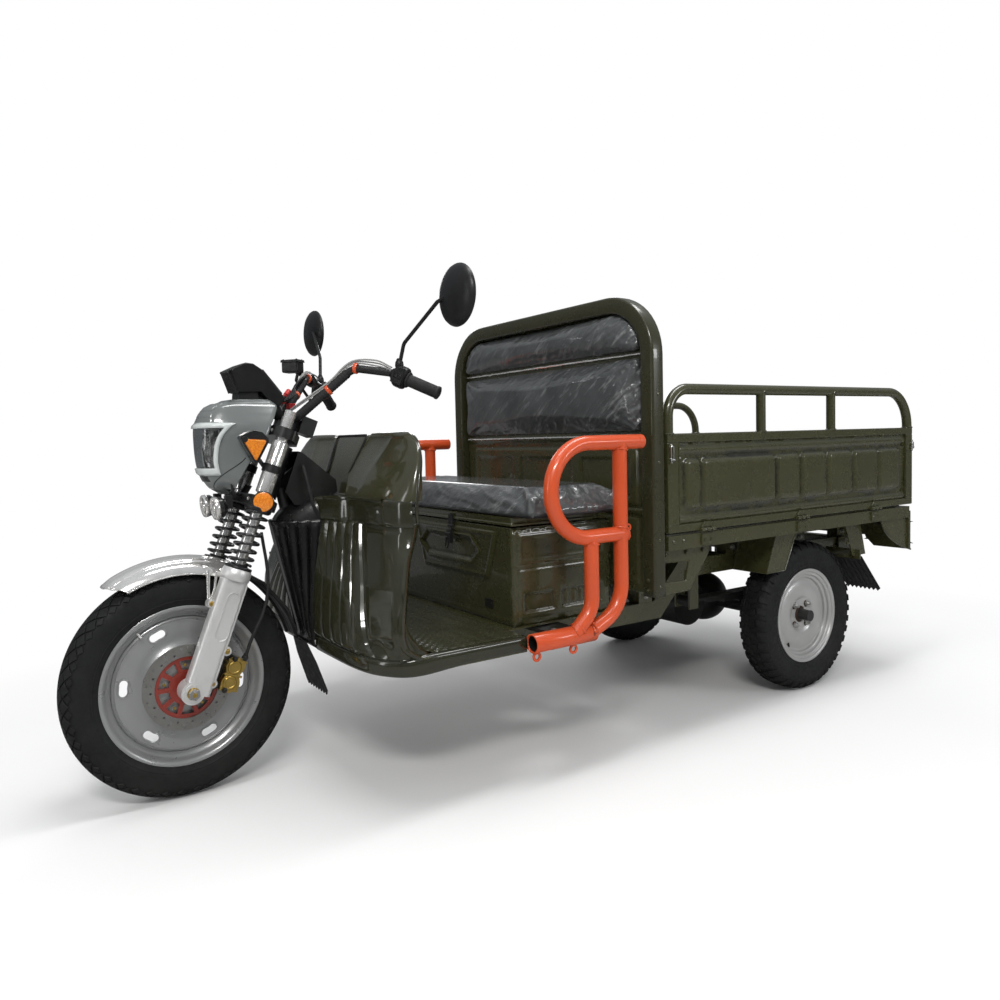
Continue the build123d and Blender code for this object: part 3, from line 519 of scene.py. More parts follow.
def glass(name, colour, rough):
    f = Finish(name)
    f.set(transmission_weight=1.0, ior=1.46)
    f.paint(f.mix(colour, tuple(c * 0.94 for c in colour), f.noise(12.0, 3.0)))
    f.rough(f.ramp(f.noise(50.0, 4.0), 0.3, 0.8, rough * 0.6, rough * 2.0))
    f.bump(f.noise(120.0, 2.0), 0.05, 0.0006)
    return f.material


def lens_colour(name, colour, deep):
    f = Finish(name)
    facets = f.cells(210.0)
    f.paint(f.mix(colour, deep, f.ramp(facets, 0.0, 0.8, 0.0, 1.0)))
    f.rough(f.ramp(f.noise(80.0, 3.0), 0.3, 0.8, 0.14, 0.3))
    f.set(coat_weight=1.0, coat_roughness=0.04, subsurface_weight=0.25, subsurface_scale=0.004)
    f.bump(facets, 0.4, 0.0009)
    return f.material


OLIVE_TONES = ((0.047, 0.0465, 0.0185), (0.040, 0.0395, 0.0155))
OLIVE = enamel("olive_enamel", *OLIVE_TONES, 0.27, 0.6, dust=0.05)
# olive with painted shade in the creases and corners of its pressings
OLIVE_PRESSED_SHADE = enamel("olive_pressed_enamel_painted_crease_shade", *OLIVE_TONES, 0.27, 0.6, dust=0.05, shaded=True)
OLIVE_UPPER = enamel("olive_upper_cowl_enamel", (0.040, 0.0395, 0.0195), (0.034, 0.0335, 0.0165), 0.2, 0.75,
                     edge=0, dust=0.02)
OLIVE_ARCH = enamel("olive_arch_enamel", (0.030, 0.0295, 0.0125), (0.025, 0.0245, 0.0105), 0.28, 0.45,
                    dust=0.04)
OLIVE_PANEL = enamel("olive_cowl_enamel", (0.024, 0.0243, 0.0125), (0.018, 0.0183, 0.0095), 0.17, 0.8,
                     edge=0, dust=0.03)
ORANGE = enamel("orange_enamel", (0.64, 0.085, 0.02), (0.56, 0.07, 0.016), 0.3, 0.45, dust=0.04)
BLACK_PAINT = enamel("black_enamel", (0.009, 0.009, 0.009), (0.014, 0.014, 0.0135), 0.34, 0.2)
RIM_GREY = enamel("rim_grey_enamel", (0.33, 0.335, 0.335), (0.30, 0.305, 0.305), 0.3, 0.5,
                  edge=0, dust=0.05, metallic=0.45)
RIM_SILVER = enamel("rim_silver_enamel", (0.52, 0.52, 0.51), (0.44, 0.44, 0.43), 0.36, 0.25,
                    edge=0.001, metallic=0.5)
MASK_GREY = enamel("mask_grey_gloss", (0.15, 0.163, 0.16), (0.125, 0.137, 0.135), 0.2, 0.8, edge=0, dust=0.0)
CAST = bare_metal("cast_alloy", (0.74, 0.74, 0.73), 0.36, scale=520.0, strength=0.22, stain_share=0.3,
                  metallic=0.6)
CHROME = bare_metal("chrome_plate", (0.93, 0.915, 0.89), 0.12, scale=90.0, strength=0.03, edge=0.0005,
                    stain_share=0.3, metallic=0.78)
STEEL = bare_metal("turned_steel", (0.52, 0.52, 0.52), 0.3, scale=400.0, stretch=(1.0, 0.2, 1.0))
ZINC = bare_metal("zinc_bolts", (0.66, 0.66, 0.64), 0.3, strength=0.1)
GOLD = bare_metal("yellow_passivated", (0.62, 0.43, 0.12), 0.34, scale=420.0, strength=0.3,
                  stain=(0.3, 0.2, 0.06))
RUST = bare_metal("rusty_steel", (0.055, 0.037, 0.028), 0.6, scale=300.0, strength=0.4,
                  stain=(0.16, 0.085, 0.045), stain_share=0.7, metallic=0.6)
BLACK = moulded("black_plastic", (0.009, 0.009, 0.0095), 0.36)
GLOSS_BLACK = moulded("gloss_black_plastic", (0.011, 0.011, 0.011), 0.2, 300.0, 0.05, edge=0, coat=0.9)
SLAT_BLACK = moulded("slat_black_plastic", (0.0045, 0.0045, 0.0045), 0.3, 300.0, 0.04, edge=0, coat=0.3,
                     dust=0.02)
RUBBER = moulded("matt_rubber", (0.014, 0.014, 0.014), 0.66, 1100.0, 0.3, edge=0)
MAT = moulded("floor_mat_rubber", (0.030, 0.030, 0.016), 0.24, 900.0, 0.1, edge=0, coat=0.9, dust=0.03)
CABLE = moulded("grey_cable_sheath", (0.23, 0.23, 0.225), 0.35, edge=0)
WHITE_FRAME = moulded("pale_lamp_frame", (0.44, 0.47, 0.46), 0.22, 200.0, 0.04, edge=0, coat=0.8, dust=0.0)
BLUE = moulded("blue_plastic", (0.03, 0.09, 0.48), 0.35, edge=0)
RED = moulded("red_plastic", (0.42, 0.02, 0.02), 0.35, edge=0)
LEATHER = leatherette()
TYRE = tyre_rubber()
LENS = glass("clear_lens", (0.97, 0.98, 0.98), 0.02)
AMBER = lens_colour("amber_lens", (0.86, 0.30, 0.02), (0.62, 0.17, 0.01))
RED_LENS = lens_colour("red_lens", (0.5, 0.012, 0.01), (0.3, 0.006, 0.006))
MIRROR = bare_metal("mirror_glass", (0.86, 0.87, 0.88), 0.02, scale=20.0, strength=0.01, edge=0,
                    stain_share=0.1)
# material slot of each finish, for the pieces that name no other
SLOTS = {finish.name: slot for slot, finishes in (
    ("olive_paint", (OLIVE, OLIVE_PRESSED_SHADE, OLIVE_UPPER, OLIVE_ARCH, OLIVE_PANEL)),
    ("black_paint", (BLACK_PAINT,)),
    ("orange_paint", (ORANGE,)),
    ("grey_paint", (RIM_GREY,)),
    ("black_plastic", (BLACK, GLOSS_BLACK, SLAT_BLACK, MIRROR, BLUE, RED)),
    ("grey_plastic", (MASK_GREY,)),
    ("rubber", (RUBBER, CABLE, MAT)),
    ("tyre", (TYRE,)),
    ("chrome", (CHROME,)),
    ("cast_alloy", (CAST,)),
    ("steel", (STEEL, ZINC, GOLD)),
    ("clear_lens", (LENS, WHITE_FRAME)),
    ("amber_lens", (AMBER,)),
    ("red_lens", (RED_LENS,)),
) for finish in finishes}


# ---------- tyres ----------
class Across:
    """Looks up a tyre's outer section by the distance across it from the crown."""

    def __init__(self, half):
        self.line = rounded_profile(half, 8)
        self.at = [0.0]
        for a, b in zip(self.line[:-1], self.line[1:]):
            self.at.append(self.at[-1] + math.dist(a, b))

    def __call__(self, w):
        side = -1 if w < 0 else 1
        w = min(abs(w), self.at[-1] - 0.01)
        i = max(k for k in range(len(self.at) - 1) if self.at[k] <= w)
        a, b = self.line[i], self.line[i + 1]
        t = (w - self.at[i]) / (self.at[i + 1] - self.at[i])
        run = math.dist(a, b)
        dr, dy = (b[0] - a[0]) / run, (b[1] - a[1]) / run
        return lerp(a[0], b[0], t), side * lerp(a[1], b[1], t), dy, -side * dr


def tyre(name, centre, half, inner, pattern, pitches, lift, body, node):
    """Carcass with raised tread blocks; pattern lists quads of (pitches round, millimetres across)."""
    shape = Shape()
    outer = rounded_profile(half, 5)
    profile = [(r, -y) for r, y in reversed(outer[1:])] + outer
    profile = [(inner, -half[-1][1] + 5)] + profile + [(inner, half[-1][1] - 5)]
    shape.turned(centre, profile, segments=144, closed=True)
    across = Across(half)
    centre = Vector(centre)
    steps = 3
    around = 4 * steps

    def place(angle, w, height):
        r, y, nr, ny = across(w)
        a = math.radians(angle)
        radius = r + nr * height
        return centre + Vector((math.cos(a) * radius, y + ny * height, math.sin(a) * radius))

    pitch = 360.0 / pitches
    for i in range(pitches):
        for quad in pattern:
            mid = [sum(c[k] for c in quad) / 4 for k in (0, 1)]
            rings = []
            for height, shrink in ((-1.2, 1.0), (lift * 0.8, 0.97), (lift, 0.9)):
                corners = [(mid[0] + (a - mid[0]) * shrink, mid[1] + (w - mid[1]) * shrink) for a, w in quad]
                ring = []
                for k in range(4):
                    a, b = corners[k], corners[(k + 1) % 4]
                    ring.extend(place(pitch * (i + lerp(a[0], b[0], t / steps)), lerp(a[1], b[1], t / steps),
                                      height)
                                for t in range(steps))
                rings.append(ring)
            top = place(pitch * (i + mid[0]), mid[1], lift * 1.03)
            shape.grid(rings, wrap=True)
            shape.add(rings[-1] + [top], [(k, (k + 1) % around, around) for k in range(around)])
    piece(name, shape, TYRE, body, [node], sharp=34)


def lattice(rows, along, across):
    """Diamonds round the tread: rows of (offset in pitches, distance across)."""
    return [[(o - along, w), (o, w - across), (o + along, w), (o, w + across)] for o, w in rows]


front_half = [(298.2, 0), (297.4, 14), (294.2, 28), (287.5, 39.5), (278, 46), (266, 49.3), (252, 50.4),
              (238, 49.6),
              (231, 48.0), (229, 48.4), (226, 46.6), (219, 43.6), (214.5, 41.5)]
front_tread = lattice([(0, -36), (0.5, -18), (0, 0), (0.5, 18), (0, 36), (0.5, 52), (0.5, -52)], 0.46, 15.2)
front_tread = front_tread[:5] + lattice([(0.5, 49), (0.5, -49)], 0.3, 8.0)
tyre("front_tyre_tread", FRONT_HUB, front_half, 203.5, front_tread, 44, 3.6, "front_wheel", "front_tyre")

rear_half = [(261.5, 0), (261.0, 18), (258.6, 34), (252.5, 44.5), (241, 50.8), (226, 53.6), (210, 53.8),
             (196, 51.8),
             (188, 49.4), (186, 49.8), (183, 48.0), (176, 45.0), (169.5, 43.0)]
rear_tread = []
for side in (1, -1):
    shift = 0.0 if side > 0 else 0.5
    rear_tread.append([(shift + a, side * w) for a, w in ((0.0, 25), (0.56, 25), (0.66, 58), (0.1, 58))])
    rear_tread.append([(shift + a, side * w) for a, w in ((0.3, 3), (0.84, 3), (0.7, 20), (0.16, 20))])
for side, body, node in ((-1, "rear_wheel_left", "rear_tyre_left"),
                         (1, "rear_wheel_right", "rear_tyre_right")):
    hub = (REAR_HUB[0], side * REAR_HUB[1], REAR_HUB[2])
    tyre(node + "_tread", hub, rear_half, 152.5, rear_tread, 40, 5.2, body, node)


# ---------- rims ----------
def kidney_outline(centre, radius, mid, half_sweep, half_width, y):
    """Closed line round one kidney-shaped hole."""
    out = []
    for k in range(9):
        a = math.radians(mid - half_sweep + 2 * half_sweep * k / 8)
        r = radius + half_width
        out.append((centre[0] + r * math.cos(a), y, centre[2] + r * math.sin(a)))
    for end, turn in ((mid + half_sweep, 0), (mid - half_sweep, 180)):
        a = math.radians(end)
        cx, cz = centre[0] + radius * math.cos(a), centre[2] + radius * math.sin(a)
        for k in range(1, 8):
            b = a + math.radians(turn + 180 * k / 8)
            out.append((cx + half_width * math.cos(b), y, cz + half_width * math.sin(b)))
        if turn == 0:
            for k in range(9):
                c = math.radians(mid + half_sweep - 2 * half_sweep * k / 8)
                r = radius - half_width
                out.append((centre[0] + r * math.cos(c), y, centre[2] + r * math.sin(c)))
    return [Vector(p) for p in out]


def turn_outward(mesh):
    work = bmesh.new()
    work.from_mesh(mesh)
    bmesh.ops.recalc_face_normals(work, faces=work.faces)
    work.to_mesh(mesh)
    work.free()


def front_wheel():
    barrel = [(213, -40), (213.5, -43), (211, -44.6), (207, -44), (202, -41), (198.5, -36), (197, -30),
              (191, -25),
              (183, -20), (180.5, -14), (180.5, 14), (183, 20), (191, 25), (197, 30), (198.5, 36), (202, 41),
              (207, 44), (211, 44.6), (213.5, 43), (213, 40), (204.5, 35), (203, 31), (186, 15), (186, -15),
              (203, -31),
              (204.5, -35)]
    rim = Shape().turned(FRONT_HUB, barrel, segments=128, closed=True)
    piece("front_rim_barrel", rim, RIM_GREY, "front_wheel", ["front_rim"], sharp=50)
    face = [(181, -10), (180.5, -17), (177, -20.5), (172, -22.6), (166, -23.6), (150, -24.2), (136, -25),
            (124, -27),
            (113, -31.5), (104, -37), (96, -40.5), (84, -42.6), (66, -43.2), (40, -43.4)]
    line = rounded_profile(face, 3)
    closed = line + [(r, y + 3.2) for r, y in reversed(line)]
    disc = Shape().turned(FRONT_HUB, closed, segments=160, closed=True)
    obj = piece("front_rim_disc", disc, RIM_GREY, "front_wheel", sharp=50)
    cutter = Shape()
    rolled = Shape()
    for k in range(6):
        line = kidney_outline(FRONT_HUB, 152, 60 * k + 54, 4.4, 10.5, -60)
        cutter.grid([line, [p + Vector((0, 80, 0)) for p in line]], wrap=True, caps=True)
        edge = [Vector((p.x, -24.6, p.z)) for p in kidney_outline(FRONT_HUB, 152, 60 * k + 54, 4.4, 12.0, 0)]
        middle = sum(edge, Vector()) / len(edge)
        rolled.grid([[p + Vector((0, 2.2 * math.sin(a), 0)) + (p - middle).normalized() * 2.6 * math.cos(a)
                      for a in (TURN * j / 8 for j in range(8))] for p in edge], wrap=True, loop=True)
    tool = new_object("holes", cutter)
    turn_outward(tool.data)
    turn_outward(obj.data)
    modify(obj, "BOOLEAN", object=tool, solver="EXACT")
    bpy.context.view_layer.update()
    cut = bpy.data.meshes.new_from_object(obj.evaluated_get(bpy.context.evaluated_depsgraph_get()))
    obj.modifiers.clear()
    obj.data = cut
    cut.set_sharp_from_angle(angle=math.radians(50))
    bpy.data.objects.remove(tool)
    rolled.turned(FRONT_HUB, [(172, -22.4), (174, -24.4), (176, -22)], segments=120)
    piece("front_rim_rolled_edges", rolled, RIM_GREY, "front_wheel")
    hub = Shape().turned(FRONT_HUB, [(11, -52), (30, -52.5), (35, -50), (38, -44), (43, -42), (44, 32),
                                     (40, 38),
                                     (34, 50), (11, 50)], segments=56)
    x, y, z = FRONT_HUB
    hub.tube([(x + 190 * math.cos(2.2), -31, z + 190 * math.sin(2.2)),
              (x + 178 * math.cos(2.2), -46, z + 178 * math.sin(2.2))], 3.4, 10)
    piece("front_hub", hub, CAST, "front_wheel", slot="grey_paint", bevel=0.6)
    bolts = Shape()
    for k in range(5):
        a = math.radians(72 * k + 20)
        bolts.bolt((x + 60 * math.cos(a), -57, z + 60 * math.sin(a)), (0, -1, 0), 4.6, 3.2, washer=False)
    piece("disc_bolts", bolts, GOLD, "front_wheel", sharp=25)


front_wheel()


def disc_finish():
    """Ground steel ring with a red-brown carrier inside it."""
    f = Finish("brake_disc_steel")
    offset = f.maths("SUBTRACT", f.place, tuple(v * MM for v in FRONT_HUB), kind="VectorMath")
    radius = f.maths("LENGTH", f.maths("MULTIPLY", offset, (1, 0, 1), kind="VectorMath"), kind="VectorMath")
    inner = f.ramp(radius, 0.0815, 0.0822, 1.0, 0.0)
    stain = f.mix((0.36, 0.36, 0.35), (0.25, 0.24, 0.22), f.noise(30.0, 5.0))
    f.paint(f.mix(stain, (0.22, 0.028, 0.018), inner))
    f.bump(f.maths("SINE", f.maths("MULTIPLY", radius, 5200.0)), 0.12, 0.0003)
    f.rough(f.ramp(f.noise(70.0, 4.0), 0.3, 0.7, 0.25, 0.42))
    f.link(f.ramp(radius, 0.0815, 0.0822, 0.0, 0.85), f.shader.inputs["Metallic"])
    return f.material


def rear_wheels():
    half = [(168, -42), (168.5, -45.5), (165, -46.8), (160.5, -46), (157, -43), (155, -39), (147.5, -37.5),
            (145.5, -33), (144.5, -30), (137, -28.5), (134.5, -24), (133.5, -20), (127, -18.8), (121, -20),
            (112, -23.5),
            (98, -26), (82, -26.5), (66, -24), (58, -19), (52, -17.5), (30, -17)]
    line = rounded_profile(half, 3)
    closed = line + [(r - 1, y + 3.6) for r, y in reversed(line)]
    x, y, z = REAR_HUB
    for side, body, node in ((-1, "rear_wheel_left", "rear_rim_left"),
                             (1, "rear_wheel_right", "rear_rim_right")):
        disc = Shape().turned(REAR_HUB, [(r, -y) for r, y in closed], segments=112, closed=True)
        disc.turned(REAR_HUB, [(133, 18), (133, -30), (150, -38), (168, -44), (160, -46), (150, -42),
                               (129, -30), (129, 18)],
                    segments=96, closed=True)
        nuts, seats = Shape(), Shape()
        for k in range(4):
            a = math.radians(90 * k + 45)
            at = Vector((x + 50 * math.cos(a), y + 14, z + 50 * math.sin(a)))
            seats.turned(at, [(0, 0), (14, 0), (14, 3), (12.5, 4.2), (0, 4.2)], ACROSS, 24)
            nuts.bolt(at + Vector((0, 4, 0)), ACROSS, 10, 10, washer=False)
            nuts.turned(at + Vector((0, 14, 0)), [(5, 0), (5, 8), (4, 9), (0, 9)], ACROSS, 12)
        centre_part = Shape().turned(REAR_HUB, [(30, 14), (24, 17), (20, 20), (18, 29), (14, 32), (9, 33),
                                                (8, 42),
                                              (0, 42)], segments=32)
        centre_part.bolt((x, y + 33, z), ACROSS, 10, 7)
        drum = Shape().turned(REAR_HUB, [(20, -56), (80, -56), (84, -50), (84, -20), (70, -12), (40, 12)],
                              segments=48)
        valve = Shape().tube([(x - 70, y + 16, z - 92), (x - 84, y + 28, z - 104)], 3.6, 10)
        parts = (("disc", disc, RIM_SILVER), ("nuts", nuts, ZINC), ("seats", seats, RUST),
                 ("hub", centre_part, RUST),
                 ("drum", drum, BLACK_PAINT), ("valve", valve, RUBBER))
        for name, shape, finish in parts:
            if side < 0:
                shape = shape.flipped()
            piece(f"{node}_{name}", shape, finish, body, [node] if name == "disc" else (),
                  slot="silver_paint", sharp=42)


rear_wheels()


# ---------- fork ----------
def springs():
    coil = Shape()
    seats = Shape()
    for y in (-LEG_SIDE, LEG_SIDE):
        low, high, turns = 346.0, 494.0, 7.0
        count = 168
        path = []
        for k in range(count + 1):
            t = k / count
            a = TURN * turns * t
            s = lerp(low, high, smooth(t) * 0.25 + t * 0.75)
            path.append(steered(LEG_BACK + 31 * math.cos(a), y + 31 * math.sin(a), s))
        coil.tube(path, 3.9, 10)
        lower = [(17, 0), (36, 0), (37, 3), (36, 7), (24, 9), (22, 14), (17, 14)]
        upper = [(17, 0), (30, 0), (36, 4), (37, 12), (35, 15), (17, 15)]
        for profile, s in ((lower, 331), (upper, 488)):
            seats.turned(steered(LEG_BACK, y, s), profile, FORK_UP, 36)
    piece("fork_spring_coils", coil, GLOSS_BLACK, "steering", ["fork_springs"], slot="black_paint")
    piece("fork_spring_seats", seats, BLACK, "steering", slot="black_paint", bevel=0.6)


def fork_trim():
    """Collars, seams, axle nut and pinch bolts of the fork legs."""
    trim, nuts = Shape(), Shape()
    for side in (-1, 1):
        y = side * LEG_SIDE
        collar = [(36.5, 0), (39, 4), (39.5, 14), (38.5, 26), (36, 31), (33, 31)]
        trim.turned(steered(LEG_BACK, y, 300), collar, FORK_UP, 40)
        # long seam along the casting and the raised rim of its oval recess
        y_out = y + side * 24
        oval = []
        for k in range(40):
            a = TURN * k / 40
            ds = 48 * (1 if math.sin(a) > 0 else -1) + 17 * math.sin(a)
            oval.append(steered(-37 + 17 * math.cos(a), y_out, 205 + ds))
        centre = sum(oval, Vector()) / len(oval)
        trim.grid([[p + (p - centre).normalized() * 1.6 * math.cos(b) + Vector((0, 1.5 * math.sin(b), 0))
                    for b in (TURN * j / 6 for j in range(6))] for p in oval], wrap=True, loop=True)
        trim.tube([steered(-11.5, y_out - side * 7, 20), steered(-11.5, y_out - side * 7, 296)], 2.4, 8)
        disc = [(22, 0), (24, side * 1.0), (24, side * 3), (11, side * 3)]
        trim.turned(steered(AXLE_BACK, y + side * 23, AXLE_UP), disc, ACROSS, 30)
        for s, n in ((118, -5), (30, -15)):
            nuts.bolt(steered(n, y + side * 14, s), (0, side, 0), 6.5, 5)
        nuts.bolt(steered(AXLE_BACK, y + side * 27, AXLE_UP), (0, side, 0), 14, 9)
        nuts.turned(steered(AXLE_BACK, y + side * 37, AXLE_UP), [(6.5, 0), (6.5, side * 5), (0, side * 6)],
                    ACROSS, 14)
        nuts.bolt(steered(-76, y - side * 8, 10), FORK_AHEAD, 5, 4)
        nuts.bolt(steered(-81, y + side * 2.5, 226), (0, side, 0), 6, 4)
    piece("fork_leg_trim", trim, CAST, "steering", bevel=0.5)
    piece("fork_nuts", nuts, GOLD, "steering", sharp=25)
    bolts = Shape()
    for y in (-LEG_SIDE, LEG_SIDE):
        for s in (517, 714):
            bolts.bolt(steered(-72, y * 0.86, s), FORK_AHEAD, 5.5, 5)
        sleeve = [(16.6, 541), (20.5, 541.5), (22.3, 544), (22.3, 686), (20.5, 690), (16.6, 691)]
        bolts.turned(steered(LEG_BACK, y, 0), sleeve, FORK_UP, 36)
        cap = [(0, 50.5), (9, 50.5), (13, 49), (14.5, 44), (15.9, 42), (15.9, 0)]
        bolts.turned(steered(LEG_BACK, y, 728), cap, FORK_UP, 28)
    bolts.turned(steered(0, 0, 742), [(20, 0), (20, 3), (14, 6), (0, 6)], FORK_UP, 24)
    piece("clamp_bolts", bolts, CHROME, "steering", sharp=28)


springs()
fork_trim()


def in_fork(outline, y0, y1, inset=0.0):
    """Slab whose outline is given rearwards and up along the steering axis."""
    # u cross v points to -y, so the slab grows from the higher y
    return Shape().prism(outline, steered(0, max(y0, y1), 0), FORK_BACK, FORK_UP, abs(y1 - y0), inset)


def caliper():
    """Cast two-part caliper with its slide pins, ribs and bleed screw."""
    n0, s0 = AXLE_BACK + 100, AXLE_UP + 58
    body = Shape()
    outer = [(-24, -46), (4, -50), (22, -40), (27, -16), (20, 2), (27, 20), (24, 40), (6, 49), (-20, 46),
             (-27, 20),
             (-20, 0), (-27, -20)]
    body.merge(in_fork([(n0 + a, s0 + b) for a, b in outer], -86, -66, 2.0))
    body.merge(in_fork([(n0 + a * 0.9, s0 + b * 0.92) for a, b in outer], -50.5, -44))
    for s in (-30, 30):
        body.merge(in_fork([(n0 + 8, s0 + s - 14), (n0 + 27, s0 + s - 12), (n0 + 27, s0 + s + 12),
                            (n0 + 8, s0 + s + 14)],
                           -84, -46))
    pistons = Shape()
    for s in (-21, 21):
        at = steered(n0 - 2, -85.2, s0 + s)
        pistons.turned(at, [(19, 0), (19, -3), (16.5, -5.5), (13, -5.5), (12, -4), (0, -4)], ACROSS, 28)
    body.merge(pistons)
    for s in (-38, 0, 38):
        body.merge(in_fork([(n0 - 25, s0 + s - 3), (n0 + 26, s0 + s - 3), (n0 + 26, s0 + s + 3),
                            (n0 - 25, s0 + s + 3)],
                           -88, -84))
    piece("caliper_casting", body, GOLD, "steering", ["brake_caliper"], slot="brass", bevel=1.4, sharp=50)
    fittings = Shape()
    for s in (-52, 54):
        fittings.tube([steered(n0 - 10, -90, s0 + s * 0.8), steered(n0 - 10, -52, s0 + s * 0.8)], 6.5, 14)
        fittings.bolt(steered(n0 - 10, -90, s0 + s * 0.8), (0, -1, 0), 6.5, 4)
    fittings.tube([steered(n0 + 14, -78, s0 + 48), steered(n0 + 17, -80, s0 + 64)], [4.6, 3.2], 12)
    fittings.bolt((-1042, -93, 362), (0, -1, 0), 7, 5)
    pads = [(-30, -30), (-2, -32), (-2, 32), (-30, 30)]
    foot = [(-52, -52), (-18, -40), (-18, -24), (-52, -34)]
    head = [(-60, 50), (-16, 30), (-16, 46), (-56, 66)]
    for outline, y0, y1 in ((pads, -66, -60.4), (foot, -78, -66), (head, -78, -66)):
        fittings.merge(in_fork([(n0 + a, s0 + b) for a, b in outline], y0, y1))
    piece("caliper_fittings", fittings, BLACK_PAINT, "steering", slot="steel", bevel=0.6)


caliper()


# ---------- front fender ----------
def arc_point(radius, y, degrees):
    a = math.radians(degrees)
    return Vector((FRONT_HUB[0] - radius * math.cos(a), y, FRONT_HUB[2] + radius * math.sin(a)))


def fender():
    half = [(341.5, 0), (340.8, 6), (338.6, 16), (336.6, 27), (333.0, 35), (328.6, 38.5), (326.0, 41),
            (322.5, 47),
            (316.5, 53.5), (308.5, 58.6), (302.0, 61.6), (299.0, 62.6)]
    line = rounded_profile(half, 3)
    section = [(r, -y) for r, y in reversed(line[1:])] + line
    blade = Shape()
    rows = []
    count = 64
    for k in range(count + 1):
        row = []
        for r, y in section:
            reach = abs(y) / half[-1][1]
            front = 56.0 + 7.5 * reach ** 2.4
            drop = 5.0 * smooth((0.12 - k / count) / 0.12) ** 2
            row.append(arc_point(r - drop * (1 - reach), y, lerp(front, 114.5, k / count)))
        rows.append(row)
    blade.grid(rows)
    piece("front_fender_blade", blade, CHROME, "steering", ["front_fender"], solid=1.6, sharp=60)
    edge = Shape()
    for side in (0, -1):
        edge.tube([row[side] for row in rows], 2.1, 8)
    edge.tube(rows[0], 2.1, 8)
    for side in (-1, 1):
        edge.tube([(-1122, side * 58.5, 604), (-1126, side * 66, 552), (-1127, side * 70, 521)], [6, 4.5, 5],
                  12)
        edge.turned((-1127, side * 72.5, 518), [(0, -3.5), (10, -3.5), (11, 0), (10, 3.3), (0, 3.3)], ACROSS,
                    24)
        edge.tube([(-1100, side * 58.5, 600), (-1108, side * 66, 556), (-1120, side * 70, 528)], [5, 4, 4],
                  12)
        for degrees in (101, 109):
            edge.rivet(arc_point(316, side * 54.5, degrees), (0, side, 0.5), 4.5, 2.5)
    piece("front_fender_rolled_edge", edge, CHROME, "steering", bevel=0.4)
    tail = Shape()
    rows = []
    for k in range(45):
        degrees = lerp(114.2, 166.0, k / 44)
        row = []
        for j in range(25):
            y = lerp(-44, 44, j / 24)
            rib = 3.0 * math.exp(-((abs(y) - 18) / 5.0) ** 2) + 2.0 * math.exp(-(y / 6.0) ** 2)
            lip = -7.0 * smooth((abs(y) - 39) / 5)
            row.append(arc_point(328.0 + rib + lip, y, degrees))
        rows.append(row)
    tail.grid(rows)
    piece("fender_tail_moulding", tail, BLACK, "steering", ["fender_tail"], solid=2.6, sharp=60)
    stay = Shape()
    for side in (-1, 1):
        stay.tube([arc_point(331, side * 40, 116), arc_point(333, side * 43, 132),
                   arc_point(333, side * 42, 150),
                   arc_point(331, side * 38, 163)], 4, 10)
    for degrees in (119, 133, 147, 161):
        for y in (-34, 34):
            stay.bolt(arc_point(330, y, degrees), arc_point(331, y, degrees) - arc_point(330, y, degrees), 5,
                      4)
    piece("fender_tail_stays", stay, BLACK_PAINT, "steering", bevel=0.4)
    flap = Shape()
    u = Vector(ACROSS)
    v = Vector((-853 + 800, 0, 362 - 205)).normalized()
    length = 166.0
    outline = [(-48, length), (-70, length - 60), (-76, 12)]
    teeth = 8
    for k in range(teeth):
        a, b = lerp(-76, 76, k / teeth), lerp(-76, 76, (k + 1) / teeth)
        outline.extend([(a + 0.5, 14), (b - 1.5, -4)])
    outline.extend([(76, 14), (70, length - 60), (48, length)])
    flap.prism(outline, (-800, 0, 207), u, v, 4.0)
    for k in range(5):
        y = -48 + 24 * k
        foot = Vector((-800, y, 207))
        flap.tube([foot + v * reach + u.cross(v) * 4 for reach in (18, 140)], 1.6, 6)
    piece("front_mud_flap", flap, RUBBER, "steering", slot="black_plastic", bevel=0.5)


fender()


# ---------- headlight mask ----------
# height: nose x, rear x and half width there, nose half width
MASK = [(802, -1066, -1046, 22, 8), (822, -1094, -1040, 60, 32), (850, -1111, -1028, 82, 45),
        (890, -1120, -1006, 94, 54),
        (945, -1123, -966, 100, 60), (990, -1121, -944, 93, 60), (1020, -1106, -926, 76, 55),
        (1040, -1086, -918, 62, 50),
        (1054, -1050, -930, 48, 40)]


def mask_row(z):
    """Outline of the mask at one height, from its rear left edge round the nose to the rear right edge."""
    rows, t = table_rows(MASK, z)
    nose, rear, half, tip = (spline(*(row[k] for row in rows), t) for k in range(1, 5))
    left = [(rear, -half, z), (lerp(rear, nose + 40, 0.5), -lerp(half, tip, 0.42), z), (nose + 34, -tip, z),
            (nose + 10, -tip * 0.66, z), (nose + 1.5, -tip * 0.3, z)]
    return curve_through(left + [(nose, 0, z)] + [(x, -y, h) for x, y, h in reversed(left)], 6)


def mask_x(y, z):
    """How far forward the mask's nose is at a point across and up."""
    row = mask_row(z)
    low = min(range(len(row) - 1), key=lambda k: 0 if row[k].y <= y <= row[k + 1].y else 1)
    a, b = row[low], row[low + 1]
    t = (y - a.y) / max(b.y - a.y, 1e-6)
    return lerp(a.x, b.x, min(max(t, 0), 1))


LENS_LOW, LENS_HIGH = 858.0, 992.0


def lens_half(z):
    """Half width of the lamp opening, which wraps round the mask's corners."""
    return lerp(50, 73, (z - LENS_LOW) / (LENS_HIGH - LENS_LOW))


